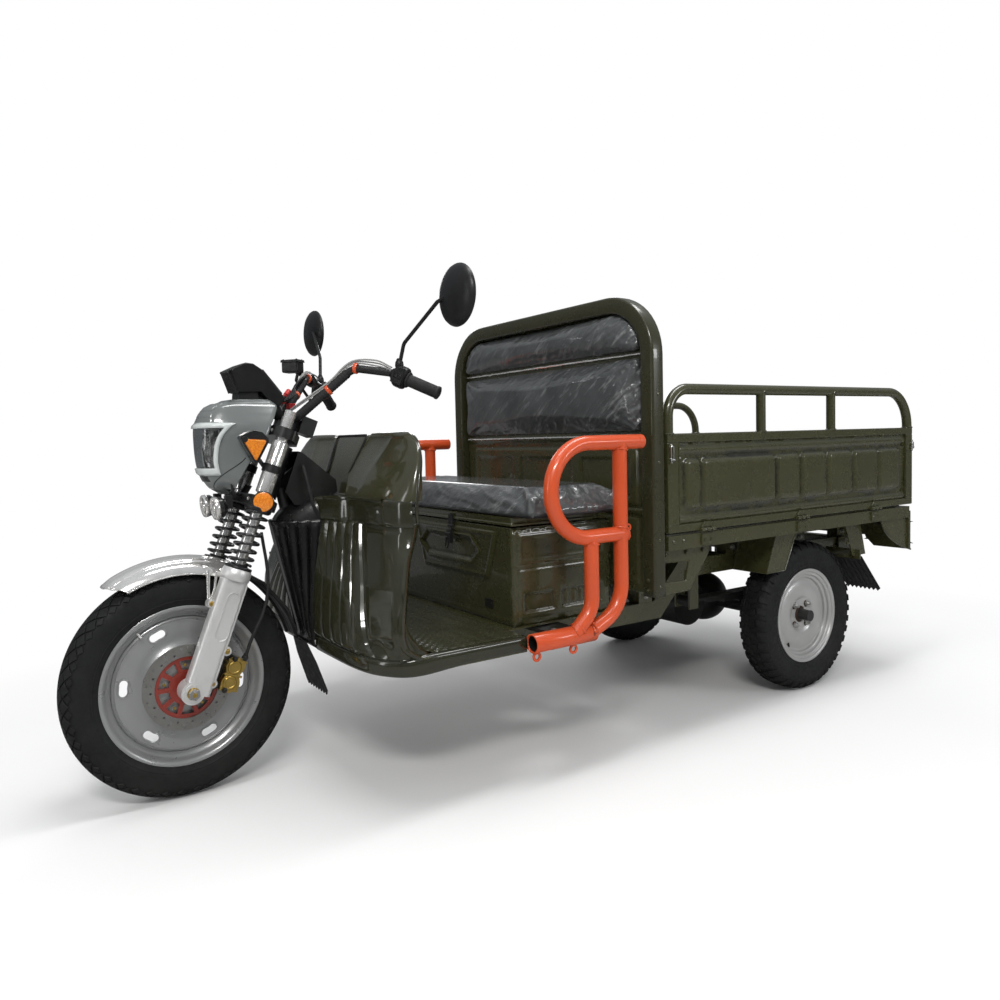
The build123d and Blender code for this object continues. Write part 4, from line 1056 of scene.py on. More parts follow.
def headlight():
    shell = Shape()
    heights = [lerp(802, 1054, k / 56) for k in range(57)]
    rows = [mask_row(z) for z in heights]
    keep = Shape()
    keep.grid(rows)
    faces = []
    for face in keep.faces:
        x, y, z = (sum(keep.points[i][k] for i in face) / 4 for k in range(3))
        inside = LENS_LOW + 6 < z < LENS_HIGH - 6 and abs(y) < lens_half(z) - 5 and x < -1020
        if not inside:
            faces.append(face)
    shell.add(keep.points, faces)
    crown = rows[-1]
    shell.grid([crown, [Vector((lerp(p.x, -985, 0.35), p.y * 0.66, 1057.5)) for p in crown],
                [Vector((lerp(p.x, -985, 0.8), p.y * 0.2, 1058)) for p in crown]])
    piece("headlight_mask_shell", shell, MASK_GREY, "steering", ["headlight_mask"], solid=2.2, sharp=70)

    cap = Shape()
    for low, high, out, half_low, half_high in ((994, 1009, 4.5, 60, 55), (1009, 1026, 6.0, 53, 47),
                                                (1026, 1046, 7.0, 44, 36)):
        rows = []
        for t, lift in ((0, -2), (0.05, out), (0.5, out), (0.95, out), (1.0, -2)):
            z = lerp(low, high, t)
            half = lerp(half_low, half_high, t)
            row = []
            for j in range(21):
                s = -1 + 2 * j / 20
                y = half * s
                ease = smooth((1 - abs(s)) / 0.12)
                row.append(Vector((mask_x(y, z) - lerp(-2, lift, ease), y, z + 1.2)))
            rows.append(row)
        cap.grid(rows)
    piece("headlight_mask_cap", cap, MASK_GREY, "steering", solid=1.2, sharp=30)

    cheeks, lines = Shape(), Shape()
    for side in (-1, 1):
        rows, edge = [], []
        for i in range(25):
            row = mask_row(lerp(806, 900, i / 24))
            if side > 0:
                row = opposite(row)
            end = lerp(0.06, 0.40, smooth(1 - i / 24))
            picked = resample_line(row, [lerp(0.0, end, k / 16) for k in range(17)])
            rows.append([Vector((p.x - 0.4, p.y + side * 1.6 * smooth(min(k + 1, 17 - k) / 2), p.z))
                         for k, p in enumerate(picked)])
            edge.append(resample_line(row, [end])[0] + Vector((-0.6, side * 1.4, 0)))
        cheeks.grid(rows)
        lines.tube(edge, 1.6, 8)
    piece("headlight_mask_cheeks", cheeks, GLOSS_BLACK, "steering", slot="grey_plastic", sharp=60)
    piece("headlight_mask_lines", lines, BLACK, "steering", slot="grey_plastic")

    shares = [0.0, 0.014] + [lerp(0.036, 0.964, j / 28) for j in range(29)] + [0.986, 1.0]
    tall, wide = 24, len(shares) - 1

    def lens_grid(offset, edge, start=0.0):
        rows = []
        for i in range(tall + 1):
            z = lerp(LENS_LOW, LENS_HIGH, lerp(start, 1 - start, i / tall))
            half = lens_half(z)
            arc = [Vector((mask_x(y, z), y, z)) for y in (half * (-1 + k / 60) for k in range(121))]
            row = resample_line(arc, [lerp(start, 1 - start, share) for share in shares])
            for j, p in enumerate(row):
                rim = min(smooth(min(j, wide - j) / wide / edge * 2),
                          smooth(min(i, tall - i) / tall / edge * 2))
                p.x -= offset * rim
            rows.append(row)
        return rows

    frame_rows = lens_grid(5.5, 0.08)
    border = Shape()
    line = wide + 1
    border.add([p for row in frame_rows for p in row],
               [(r * line + c, r * line + c + 1, (r + 1) * line + c + 1, (r + 1) * line + c)
                for r in range(tall) for c in range(wide)
                if r < 3 or r > tall - 3 or c < 2 or c > wide - 3])
    piece("headlamp_pale_frame", border, WHITE_FRAME, "steering", solid=6.0, sharp=50)
    glass_part = Shape().grid(lens_grid(4.2, 0.06, 0.02))
    piece("headlamp_lens", glass_part, LENS, "steering", ["headlamp"], solid=1.6, sharp=60)
    bucket = Shape()
    front = lens_grid(-1.0, 0.02, 0.02)
    ring = front[0] + [row[-1] for row in front[1:]] + list(reversed(front[-1][:-1])) + \
        [row[0] for row in reversed(front[1:-1])]
    back = [Vector((lerp(p.x, -1072, 0.85) if p.x < -1072 else p.x + 6, p.y * 0.82,
                    lerp(p.z, 923, 0.14))) for p in ring]
    bucket.grid([ring, back, [Vector((-1062, p.y * 0.1, lerp(p.z, 923, 0.9))) for p in back]], wrap=True)
    piece("headlamp_bucket", bucket, STEEL, "steering", slot="clear_lens", sharp=40)
    optics = Shape()
    optics.turned((-1084, 0, 930), [(0, 1), (19, 1), (22, -2), (23, -10), (25.5, -10), (25.5, 6), (0, 6)],
                  REARWARD, 36)
    for y in (-34, -26, 26, 34):
        low = 892 if abs(y) < 30 else 905
        optics.box((-1096, y - 1.6, low), (-1074, y + 1.6, 974))
    optics.box((-1098, -27, 960), (-1078, 27, 964))
    optics.box((-1096, -22, 888), (-1078, 22, 892))
    piece("headlamp_chrome_trim", optics, CHROME, "steering", bevel=0.5)
    bulb = Shape().turned((-1088, 0, 930), [(21, 0), (19, -5), (13, -9.5), (6, -11.5), (0, -12)], REARWARD,
                          32)
    bulb.turned((-1088, 0, 930), [(21, 0), (0, 0)], REARWARD, 32)
    piece("headlamp_projector", bulb, LENS, "steering")
    chin = Shape()
    rows = []
    for i in range(9):
        z = lerp(838, 860, i / 8)
        rows.append([Vector((mask_x(y, z) - 3.5 * smooth(min(j, 14 - j) / 3), y, z))
                     for j, y in ((j, lerp(-32, 32, j / 14)) for j in range(15))])
    chin.grid(rows)
    piece("headlamp_chin", chin, GLOSS_BLACK, "steering", solid=1.6)


headlight()


def mask_brackets():
    """Dark stays and wiring behind the mask, between it and the fork."""
    bracket = Shape()
    for side in (-1, 1):
        bracket.tube([steered(-30, side * 84, 590), (-990, side * 90, 905), (-1020, side * 84, 935)], 6, 10)
        bracket.turned(steered(LEG_BACK, side * LEG_SIDE, 600), [(22, 0), (25.5, 0), (25.5, 22), (22, 22)],
                       FORK_UP, 28)
    bracket.box((-1040, -70, 862), (-1010, 70, 880))
    piece("mask_brackets", bracket, BLACK_PAINT, "steering", bevel=1.0)
    wires = Shape()
    for k in range(7):
        y = -54 + 18 * k
        sway = 9 * math.sin(k * 2.1)
        path = curve_through([(-1030, y * 0.7, 900 + sway), (-1048 + sway, y, 840),
                              (-1040, y * 0.9 + sway, 800),
                              (-1010, y * 0.5, 790 + sway), (-985, y * 0.4, 820)], 7)
        wires.tube(path, 3.4, 8)
    piece("headlamp_wiring", wires, RUBBER, "steering")


mask_brackets()


def signals():
    lens, shell, dots = Shape(), Shape(), Shape()
    outline = [(-1036, 948), (-1034, 951), (-975, 947), (-971, 942), (-999, 893), (-1004, 892)]
    big = [(-1044, 953), (-1040, 960), (-1006, 975), (-980, 968), (-963, 950), (-963, 940), (-996, 884),
           (-1006, 883)]
    for side in (-1, 1):
        for shape, line, near, depth, inset in ((shell, big, 101, 24, 1.5), (lens, outline, 124, 7.5, 4.0)):
            part = Shape()
            # u cross v points to -y for u = +x, v = +z
            part.prism(line, (0, -near, 0), REARWARD, UP, depth, inset)
            shape.merge(part.on_side(side))
        dots.turned((-1031, side * 125, 949), [(0, side * 7), (7, side * 7), (8.5, side * 5), (8.5, 0)],
                    ACROSS, 20)
    piece("signal_shells", shell, GLOSS_BLACK, "steering", ["turn_signals"], bevel=2.0, sharp=60)
    piece("signal_lenses", lens, AMBER, "steering", bevel=1.6, sharp=60)
    piece("signal_studs", dots, BLACK, "steering")
    stalk = Shape()
    for side in (-1, 1):
        stalk.tube([(-1000, side * 92, 925), (-1000, side * 110, 928)], 9, 14)
    piece("signal_stalks", stalk, RUBBER, "steering", slot="black_plastic")
    reflector, holder = Shape(), Shape()
    for side in (-1, 1):
        axis = Vector((-0.42, side * 0.9, 0))
        at = Vector((-990, side * 134, 782))
        reflector.turned(at, [(0, 6), (20, 5.6), (25.5, 3.5), (26.5, 0)], axis, 40)
        holder.turned(at, [(26, -1), (29, 0), (29, 2.5), (27, 4), (26.4, 1)], axis, 40)
        holder.turned(at, [(28, 0), (28, -3), (8, -8), (8, -30)], axis, 30)
    piece("side_reflectors", reflector, AMBER, "steering")
    piece("reflector_holders", holder, GLOSS_BLACK, "steering", bevel=0.3)


signals()


def horn_pair():
    rims, fronts = Shape(), Shape()
    x = -1093
    for y in (-52, 52):
        axis = Vector((-1, 0, -0.12))
        at = Vector((x, y, 767))
        rims.turned(at, [(24, 2), (26, 6.5), (29.5, 7.5), (31.5, 4), (31.5, -3), (29, -6)], axis, 44)
        rims.turned(at, [(0, 8.5), (5, 8), (7, 5), (7, 1)], axis, 20)
        for k in range(10):
            a = TURN * k / 10
            u = Vector((0, math.cos(a), math.sin(a)))
            rims.tube([at + u * 8 + axis * 3.4, at + u * 24 + axis * 3.0], 1.0, 6)
        fronts.turned(at, [(0, 1.0), (8, 1.0), (12, 2.2), (16, 1.0), (20, 2.2), (25, 1.5)], axis, 36)
        fronts.turned(at, [(30, -4), (29, -16), (20, -26), (10, -30), (0, -30)], axis, 36)
        fronts.box((x + 24, y - 8, 764), (x + 44, y + 8, 800))
    piece("horn_rims", rims, CHROME, "steering", ["horns"])
    piece("horn_bodies", fronts, GLOSS_BLACK, "steering", bevel=0.5)


horn_pair()


def console():
    body = Shape()
    # side outline, and half width at each point: the housing narrows downwards
    outline = [(-1036, 1138, 50), (-1032, 1142, 50), (-1002, 1156, 50), (-995, 1158, 50), (-975, 1156, 50),
               (-950, 1141, 48), (-890, 1068, 46), (-886, 1058, 46), (-902, 1036, 40), (-920, 1044, 38),
               (-950, 1080, 38),
               (-1014, 1078, 40)]
    rows = [[Vector((x, s * half, z)) for x, z, half in outline] for s in (-1, -0.96, 0.96, 1)]
    for p in rows[0] + rows[3]:
        centre = Vector((-955, p.y, 1105))
        p += (centre - p) * 0.05
    body.grid(rows, wrap=True, caps=True)
    piece("console_housing", body, BLACK, "steering", ["instrument_console"], bevel=3.0, sharp=50)
    ribs = Shape()
    for k in range(9):
        y = -36 + 9 * k
        ribs.add([(-1013, y - 2.2, 1081), (-1034, y - 2.2, 1136), (-1041, y - 1.3, 1134),
                  (-1021, y - 1.3, 1078),
                  (-1013, y + 2.2, 1081), (-1034, y + 2.2, 1136), (-1041, y + 1.3, 1134),
                  (-1021, y + 1.3, 1078)],
                 [(0, 1, 2, 3), (7, 6, 5, 4), (0, 4, 5, 1), (1, 5, 6, 2), (2, 6, 7, 3), (3, 7, 4, 0)])
    ribs.box((-1040, -44, 1133), (-1031, 44, 1139))
    back = Vector((-950 + 890, 0, 1141 - 1068)).normalized()
    ribs.merge(Shape().prism([(-42, 4), (42, 4), (43, 91), (-43, 91)], (-891, 0, 1069), ACROSS, back, 4.5,
                             1.5))
    piece("console_ribs", ribs, GLOSS_BLACK, "steering", bevel=0.7)
    corner = Vector((-891, 0, 1069)) + back.cross(Vector(ACROSS)) * -4.3
    screen = Shape().prism([(-33, 12), (33, 12), (34, 83), (-34, 83)], corner, ACROSS, back, 2.2)
    piece("console_window", screen, GLOSS_BLACK, "steering", bevel=0.6)
    base = Shape()
    base.plate(30, 30, (-985, 0, 1052), REARWARD, ACROSS, 34, 4)
    base.tube([(-962, 0, 1070), (-930, 0, 1050)], 20, 16)
    base.tube([(-930, 0, 1052), (-900, 0, 1030), (-885, 0, 1010)], [22, 20, 16], 18)
    piece("console_neck", base, BLACK, "steering", bevel=2.0)


console()

# ---------- handlebar ----------
BAR_END = Vector((-573, -350, 1061))
BAR_SWITCH = Vector((-656, -251, 1120))
BAR_BEND = Vector((-733, -172, 1138))
BAR_CLAMP = Vector((-864.4, -62, 1002.2))
GRIP_DIR = (BAR_SWITCH - BAR_END).normalized()


def bar_parts():
    grips, boxes, buttons = Shape(), Shape(), Shape()
    for side in (-1, 1):
        grip, box, small = Shape(), Shape(), Shape()
        profile = [(0, -7.5), (13, -7.5), (18, -5), (18.4, -1), (17.4, 2), (16.4, 4)]
        for k in range(17):
            a = 6 + 4.6 * k
            profile.extend([(16.3, a), (16.9, a + 0.9), (16.9, a + 2.6), (16.3, a + 3.4)])
        profile.extend([(16.6, 85), (21, 86.5), (22.5, 89), (21, 92), (11, 92)])
        grip.turned(BAR_END, profile, GRIP_DIR, 40)
        body = [(11, 93), (24, 93), (29.5, 96.5), (31, 102), (31, 107.5), (29.4, 108.5), (29.4, 110),
                (31, 111),
                (30.5, 121), (27, 127.5), (19, 131), (14, 140), (11.5, 141)]
        box.turned(BAR_END, body, GRIP_DIR, 30)
        across = Vector(UP) - GRIP_DIR * GRIP_DIR.z
        across.normalize()
        out = GRIP_DIR.cross(across).normalized()
        mid = BAR_END + GRIP_DIR * 112
        # squared front housing that makes the drum lopsided, with the switch keys on its rear
        box.prism([(-17, -20), (15, -20), (18, 0), (12, 24), (-12, 26), (-17, 8)], mid - out * 30, GRIP_DIR,
                  across, 52, 3)
        for a, b in ((-9, 6), (3, -8), (5, 10)):
            small.plate(4, 3, mid + GRIP_DIR * a + across * b + out * 20, GRIP_DIR, across, 4.5, 0.6)
        box.bolt(mid + across * 24 - out * 6, across, 4, 2, washer=False)
        for shape, part in ((grips, grip), (boxes, box), (buttons, small)):
            shape.merge(part.on_side(side))
    piece("hand_grip_sleeves", grips, RUBBER, "steering", ["hand_grips"], sharp=35)
    piece("switch_housings", boxes, BLACK, "steering", ["switch_boxes"], bevel=1.6, sharp=50)
    piece("switch_keys", buttons, RED, "steering", bevel=0.5)
    keys = Shape().plate(6, 7, (-690, 246, 1126), (0, 0.8, 0.6), (0.3, -0.6, 0.8), 9, 1)
    piece("key_tab", keys, BLUE, "steering", bevel=1.0)

    bands = Shape()
    for side in (-1, 1):
        for a, b, t in ((BAR_SWITCH, BAR_BEND, 0.93), (BAR_BEND, BAR_CLAMP, 0.42)):
            at = a.lerp(b, t)
            direction = (b - a).normalized()
            if side > 0:
                at, direction = opposite([at, direction])
            bands.turned(at, [(11, -5), (14.5, -5), (15.2, -3.6), (15.2, 3.6), (14.5, 5), (11, 5)], direction,
                         22)
            bands.ring(at + Vector((0, 0, 8)), direction, 6.5, 1.7, 20, 6)
    piece("cable_bands", bands, ORANGE, "steering", slot="rubber", sharp=50)

    sheaths = Shape()
    for up, aside, sway in ((12, 0, 0), (17, 5, 2), (21, -4, 4)):
        a = Vector((0, 0, up))
        path = [BAR_END + GRIP_DIR * 138 + Vector((-6, -4 + aside, up * 0.7)),
                BAR_SWITCH.lerp(BAR_BEND, 0.35) + a * 1.15 + Vector((aside, aside, sway)),
                BAR_SWITCH.lerp(BAR_BEND, 0.9) + a + Vector((0, aside * 0.4, 2)),
                BAR_BEND.lerp(BAR_CLAMP, 0.12) + a * 0.9 + Vector((-4, aside * 0.4, 4)),
                BAR_BEND.lerp(BAR_CLAMP, 0.34) + Vector((-8, aside * 0.5, up * 0.7)),
                BAR_BEND.lerp(BAR_CLAMP, 0.66) + Vector((-10, aside, up * 0.8 + 4)),
                (-880, -34 + aside, 1016 + sway), (-892, -18 + aside, 985)]
        sheaths.tube(curve_through(path, 9), 2.3, 8)
    sheaths.mirrored()
    # dark wrap over the lower run of the bar, with the turns of its tape
    wrap = Shape()
    count = 150
    run = [BAR_BEND.lerp(BAR_CLAMP, lerp(0.10, 0.93, k / count)) for k in range(count + 1)]
    wrap.tube(run, [12.6 + 0.9 * ((k / 7.0) % 1.0) for k in range(count + 1)], 20)
    wrap.mirrored()
    piece("bar_wrap", wrap, RUBBER, "steering", sharp=60)
    piece("bar_cables", sheaths, CABLE, "steering", ["control_cable"])

    riser = Shape()
    for y in (-30, 30):
        riser.turned(steered(-13.5, y, 769.2), [(11.3, -11), (20, -11), (21.5, -8), (21.5, 8), (20, 11),
                                                (11.3, 11)],
                     ACROSS, 32)
        for n in (-27, 0):
            riser.bolt(steered(n, y, 786), FORK_UP, 5, 5)
    piece("bar_clamp_caps", riser, BLACK_PAINT, "steering", bevel=0.8)
    lock = Shape()
    lock.turned((-836, -40, 1010), [(0, 4), (8, 4), (13, 2.5), (14.5, 0), (14.5, -14)], (0.37, 0, 0.93), 26)
    piece("ignition_lock", lock, STEEL, "steering")
    # wiring bundle between the clamp, the console and the right-hand controls
    bundle = Shape()
    for k in range(8):
        t = k / 7
        path = curve_through([(-905 + 6 * k, 20 - 5 * k, 1040 + 3 * k),
                              (-880 + 5 * k, 46 - 8 * k, 1068 + 6 * math.sin(k)),
                              (-838 + 7 * t, 82 - 9 * k * t, 1058 + 4 * k), (-800, 118 - 3 * k, 1086 + 3 * k),
                              (-760, 160 - 4 * k, 1122 + 2 * k), (-716, 196, 1138)], 7)
        bundle.tube(path, 3.2, 8)
    piece("right_wiring", bundle, RUBBER, "steering")
    clips = Shape()
    clips.box((-872, 52, 1052), (-846, 74, 1078))
    clips.tube([(-836, 82, 1078), (-820, 96, 1092)], 8, 12)
    clips.box((-846, 30, 1034), (-826, 54, 1052))
    piece("red_connectors", clips, RED, "steering", bevel=1.5)
    tank = Shape()
    turn = math.radians(40)
    u = Vector((math.cos(turn), math.sin(turn), 0))
    v = Vector((-math.sin(turn), math.cos(turn), 0))
    tank.plate(24, 30, (-768, 192, 1187), u, v, 8, 1.5)
    for a, b in ((-17, -23), (17, -23), (17, 23), (-17, 23)):
        tank.bolt(Vector((-768, 192, 1195)) + u * a + v * b, UP, 3.4, 1.6, washer=False)
    piece("brake_fluid_cap", tank, BLACK, "steering", bevel=1.2)


bar_parts()


def mirrors():
    stems, heads, faces = Shape(), Shape(), Shape()
    for side, lift in ((-1, 0), (1, 22)):
        stem, head, face = Shape(), Shape(), Shape()
        foot = BAR_END + GRIP_DIR * 112
        base = Vector((foot.x - 4, foot.y, foot.z + 30))
        stem.turned(base, [(0, -4), (11, -4), (12, 0), (11, 10), (8, 15), (6, 17), (6, 20)], UP, 20)
        stem.bolt(base + Vector((0, 0, 12)), UP, 9, 6, washer=False)
        path = bent_line([base, base + Vector((8, -14, 1196 + lift - base.z)), (-602, -412, 1290 + lift),
                          (-589, -446, 1302 + lift)], [22, 14], 8)
        stem.tube(path, 5.2, 14)
        stem.tube([(-594, -428, 1296 + lift), (-588, -448, 1302 + lift), (-584, -458, 1302 + lift)],
                  [7, 9, 10], 14)
        at = Vector((-584, -468, 1300 + lift))
        head.turned(at, [(0, -17), (14, -16.6), (34, -14.6), (54, -10.8), (68, -5.4), (76, 0.5), (79.4, 6),
                         (80, 9),
                         (79, 11.2), (76.5, 11.6), (75.5, 9.6)], REARWARD, 72)
        face.turned(at, [(76, 9.6), (40, 10.4), (0, 10.8)], REARWARD, 64)
        for target, part in ((stems, stem), (heads, head), (faces, face)):
            target.merge(part.on_side(side))
    piece("mirror_stems", stems, BLACK, "steering", ["mirrors"], sharp=40)
    piece("mirror_heads", heads, BLACK, "steering", sharp=60)
    piece("mirror_faces", faces, MIRROR, "steering")


mirrors()


# ---------- cowl ----------
# front face from the middle to its rear edge, as (x, y) at each height; the first points are on the pleats
SHIELD = [
    (389, [(-838, 86), (-837, 160), (-834, 300), (-822, 385), (-797, 442), (-760, 478), (-727, 494)]),
    (420, [(-838, 86), (-837, 155), (-830, 310), (-812, 385), (-797, 430), (-786, 468), (-775, 490)]),
    (470, [(-838, 86), (-835, 140), (-821, 315), (-808, 365), (-797, 415), (-790, 462), (-786, 488)]),
    (560, [(-831, 86), (-823, 128), (-800, 260), (-786, 330), (-778, 390), (-772, 440), (-768, 471)]),
    (630, [(-820, 86), (-808, 120), (-781, 228), (-768, 300), (-760, 370), (-752, 425), (-744, 447)]),
    (680, [(-812, 86), (-799, 115), (-768, 206), (-757, 290), (-750, 360), (-736, 410), (-718, 433)]),
    (722, [(-804, 86), (-792, 110), (-757, 192), (-752, 280), (-747, 350), (-730, 404), (-707, 431)]),
]


def level_points(table, z):
    """Row of points at a height, read between the listed heights."""
    rows, t = table_rows(table, z)
    return [tuple(spline(*values, t) for values in zip(*points)) for points in zip(*(row[1] for row in rows))]


PLEATS = 5
# within one pleat: share of its width, and how far the sheet stands out there
PLEAT_STEPS = ((0.0, 0.0), (0.06, 3.0), (0.13, 8.0), (0.2, 10.0), (0.4, 9.4), (0.65, 8.0), (0.86, 6.4),
               (0.94, 2.4))


def shield():
    """Pleated left half of the leg shield below the band, from the centre guard to the turned rear edge."""
    half = Shape()
    rows = []
    count = 70
    for i in range(count + 1):
        z = lerp(389.5, 721.5, i / count)
        fan = lerp(0.74, 0.42, i / count)
        ends = smooth((z - 389.5) / 16) * smooth((722 - z) / 9)
        line = curve_through([(x, -y, z) for x, y in level_points(SHIELD, z)], 16)
        stations, lifts = [], []
        for k in range(PLEATS):
            for share, lift in PLEAT_STEPS:
                stations.append(fan * (k + share) / PLEATS)
                lifts.append(lift * ends)
        for k in range(25):
            t = k / 24
            stations.append(lerp(fan, 1.0, t))
            inset = min((t - 0.06) / 0.1, (0.95 - t) / 0.1, (z - 432) / 16, (706 - z) / 14)
            lifts.append(3.2 * smooth(inset))
        points = resample_line(line, stations)
        row = [p + outward(points, k) * (lifts[k] - 4.0) for k, p in enumerate(points)]
        tail = row[-1]
        row.extend([tail + Vector((5, -1.5, 0)), tail + Vector((12, 1.5, 0)), tail + Vector((20, 7, 0))])
        rows.append(row)
    half.grid(rows)
    piece("leg_shield_pleated", half.mirrored(), OLIVE_PANEL, "chassis", ["leg_shield"], solid=-2.6, sharp=32)


def band():
    """Plain band and ledge between the pleats and the upper cowl."""
    front = [(-816, 56), (-800, 96), (-777, 150), (-757, 190), (-752, 280), (-747, 350), (-731, 402),
             (-706, 434)]
    back = [(-742, 56), (-742, 96), (-742, 150), (-744, 190), (-742, 280), (-737, 350), (-720, 396),
            (-701, 430)]
    line = curve_through([(x, -y, 0) for x, y in front], 10)
    inner = curve_through([(x, -y, 0) for x, y in back], 10)
    rows = []
    levels = [(714, 0.35), (716, -0.02), (720, -0.09), (726, -0.09), (758, -0.05), (770, -0.04), (776, 0.0),
              (779.5, 0.12),
              (780.5, 0.3), (781.5, 0.6), (782, 1.05)]
    for z, t in levels:
        row = []
        for a, b in zip(line, inner):
            span = b - a
            reach = min(span.length, 46.0)
            move = span.normalized() * reach * t if t <= 0.3 else span * t
            row.append(Vector((a.x + move.x, a.y + move.y, z)))
        rows.append(row)
    half = Shape().grid(rows)
    piece("cowl_band", half.mirrored(), OLIVE_PANEL, solid=-2.4, sharp=52)
    # raised trim along the ledge with a small square cap on it, and the screws of the cowl
    trim = Shape()
    path = curve_through([(x - 1.5, -y, 781) for x, y in front[1:6]], 8)
    section = ((-1.5, -7), (-3.2, -4), (-3.2, 1.5), (-1.5, 3.5), (4, 3.8), (9, 3.0))
    trim.grid([[p + Vector((dx, 0, dz)) for dx, dz in section] for p in path])
    trim.plate(7, 7, (-752, -203, 781), REARWARD, ACROSS, 6, 1)
    trim.mirrored()
    piece("ledge_trim", trim, OLIVE_PANEL, sharp=45)
    screws = Shape()
    for x, y, z in ((-751, -335, 751), (-706, -432, 752), (-749, -226, 746)):
        screws.rivet((x - 4, y, z), (-1, -0.4 if y < -400 else -0.1, 0), 4.2, 2.0)
    screws.mirrored()
    piece("cowl_screws", screws, ZINC, slot="olive_paint")


# hump outline at each height: inner front corner, crease, front to outer bulge, then the rear
HUMP = [
    (780, [(-746, 117), (-753, 203), (-747, 300), (-739, 372), (-725, 412), (-703, 435), (-676, 428),
           (-662, 400),
           (-657, 330), (-657, 118)]),
    (812, [(-730, 99), (-739, 209), (-736, 300), (-728, 368), (-716, 408), (-697, 432), (-672, 425),
           (-659, 398),
           (-655, 325), (-655, 99)]),
    (846, [(-713, 82), (-722, 218), (-719, 300), (-712, 362), (-703, 402), (-688, 425), (-668, 418),
           (-656, 392),
           (-652, 320), (-652, 82)]),
    (880, [(-696, 88), (-702, 229), (-699, 300), (-695, 356), (-688, 392), (-676, 415), (-660, 409),
           (-650, 386),
           (-647, 315), (-647, 90)]),
    (910, [(-681, 99), (-684, 243), (-682, 300), (-679, 346), (-675, 376), (-666, 398), (-654, 394),
           (-646, 374),
           (-643, 305), (-642, 99)]),
    (934, [(-670, 112), (-671, 254), (-670, 300), (-668, 334), (-665, 356), (-659, 372), (-650, 370),
           (-644, 354),
           (-640, 295), (-638, 112)]),
    (950, [(-665, 121), (-666, 262), (-665, 292), (-664, 316), (-661, 332), (-656, 343), (-649, 342),
           (-644, 330),
           (-640, 284), (-637, 123)]),
    (957, [(-660, 128), (-661, 258), (-660, 286), (-659, 306), (-657, 318), (-654, 326), (-649, 326),
           (-645, 318),
           (-642, 282), (-640, 130)]),
]


# shares of the width of a hump's inner facet
FACET_STEPS = (0.0, 0.04, 0.12, 0.3, 0.5, 0.7, 0.88, 0.96)


def humps():
    half = Shape()
    rows = []
    zs = [lerp(780, 957, k / 44) for k in range(45)]
    for z in zs:
        pts = level_points(HUMP, min(z, 956.99))
        front = curve_through([(x, -y, z) for x, y in pts[1:9]], 7)
        facet = [Vector((pts[0][0], -pts[0][1], z)).lerp(Vector((pts[1][0], -pts[1][1], z)), t)
                 for t in FACET_STEPS]
        # the inner facet is dished a little between its two edges
        for k, t in enumerate(FACET_STEPS):
            facet[k].x += 3.0 * smooth(min(t, 1 - t) / 0.1) * smooth((z - 786) / 12) * smooth((952 - z) / 12)
        last = Vector((pts[9][0], -pts[9][1], z))
        rear = [front[-1].lerp(last, t) for t in (0.33, 0.66, 1.0)]
        rows.append(facet + front + rear)
    # close the crown softly
    top = rows[-1]
    middle = sum(top, Vector()) / len(top)
    for t, rise in ((0.25, 1.2), (0.6, 2.0), (0.97, 2.2)):
        rows.append([p.lerp(middle, t) + Vector((0, 0, rise)) for p in top])
    half.grid(rows, wrap=True)
    piece("cowl_humps", half.mirrored(), OLIVE_UPPER, "chassis", ["cowl_top"], sharp=38)
    # deep shadow gap and lip behind the hump's outer side
    lip = Shape()
    line = [Vector((x, y, z)) for x, y, z in ((-701, -437, 724), (-703, -438, 776), (-693, -431, 830),
                                              (-680, -420, 868),
                                              (-668, -400, 905), (-660, -372, 934), (-655, -342, 950))]
    path = curve_through(line, 8)
    section = ((4, 2), (9, -1.4), (13, 0.5), (14, 6), (13, 16))
    lip.grid([[p + Vector((dx, dy, 0)) for dx, dy in section] for p in path])
    lip.mirrored()
    piece("cowl_outer_lip", lip, OLIVE_PANEL, solid=2.0, sharp=60)


def centre_panel():
    """Flat panel recessed between the humps, with its raised rim."""
    side = [(-742, 782), (-716, 784), (-713, 792), (-710, 842), (-690, 888), (-664, 948), (-659, 953)]
    rows = []
    for x, z in side:
        t = (z - 782) / 171
        half = lerp(lerp(116, 79, min(t / 0.36, 1)), 106, smooth((t - 0.36) / 0.64)) + 6
        rows.append([Vector((x + (1.8 if abs(s) > 0.93 else 0), half * s, z)) for s in
                     (-1, -0.96, -0.9, -0.6, -0.3, 0, 0.3, 0.6, 0.9, 0.96, 1)])
    panel = Shape().grid(rows)
    piece("cowl_centre_panel", panel, OLIVE_UPPER, solid=-3.0, sharp=35)
    rim = Shape()
    rim.tube(bent_line([(-712, -80, 846), (-661, -105, 953), (-661, 105, 953), (-712, 80, 846)], 12), 3.4, 10)
    for side in (-1, 1):
        rim.tube(bent_line([(-712, side * 80, 846), (-716, side * 104, 800), (-736, side * 112, 786)], 14),
                 3.0, 10)
    piece("cowl_panel_rim", rim, BLACK, slot="olive_paint")
    shelf = Shape().box((-760, -100, 778), (-700, 100, 783))
    shelf.box((-764, -52, 776), (-758, 52, 789))
    piece("cowl_centre_shelf", shelf, BLACK, bevel=1.5)


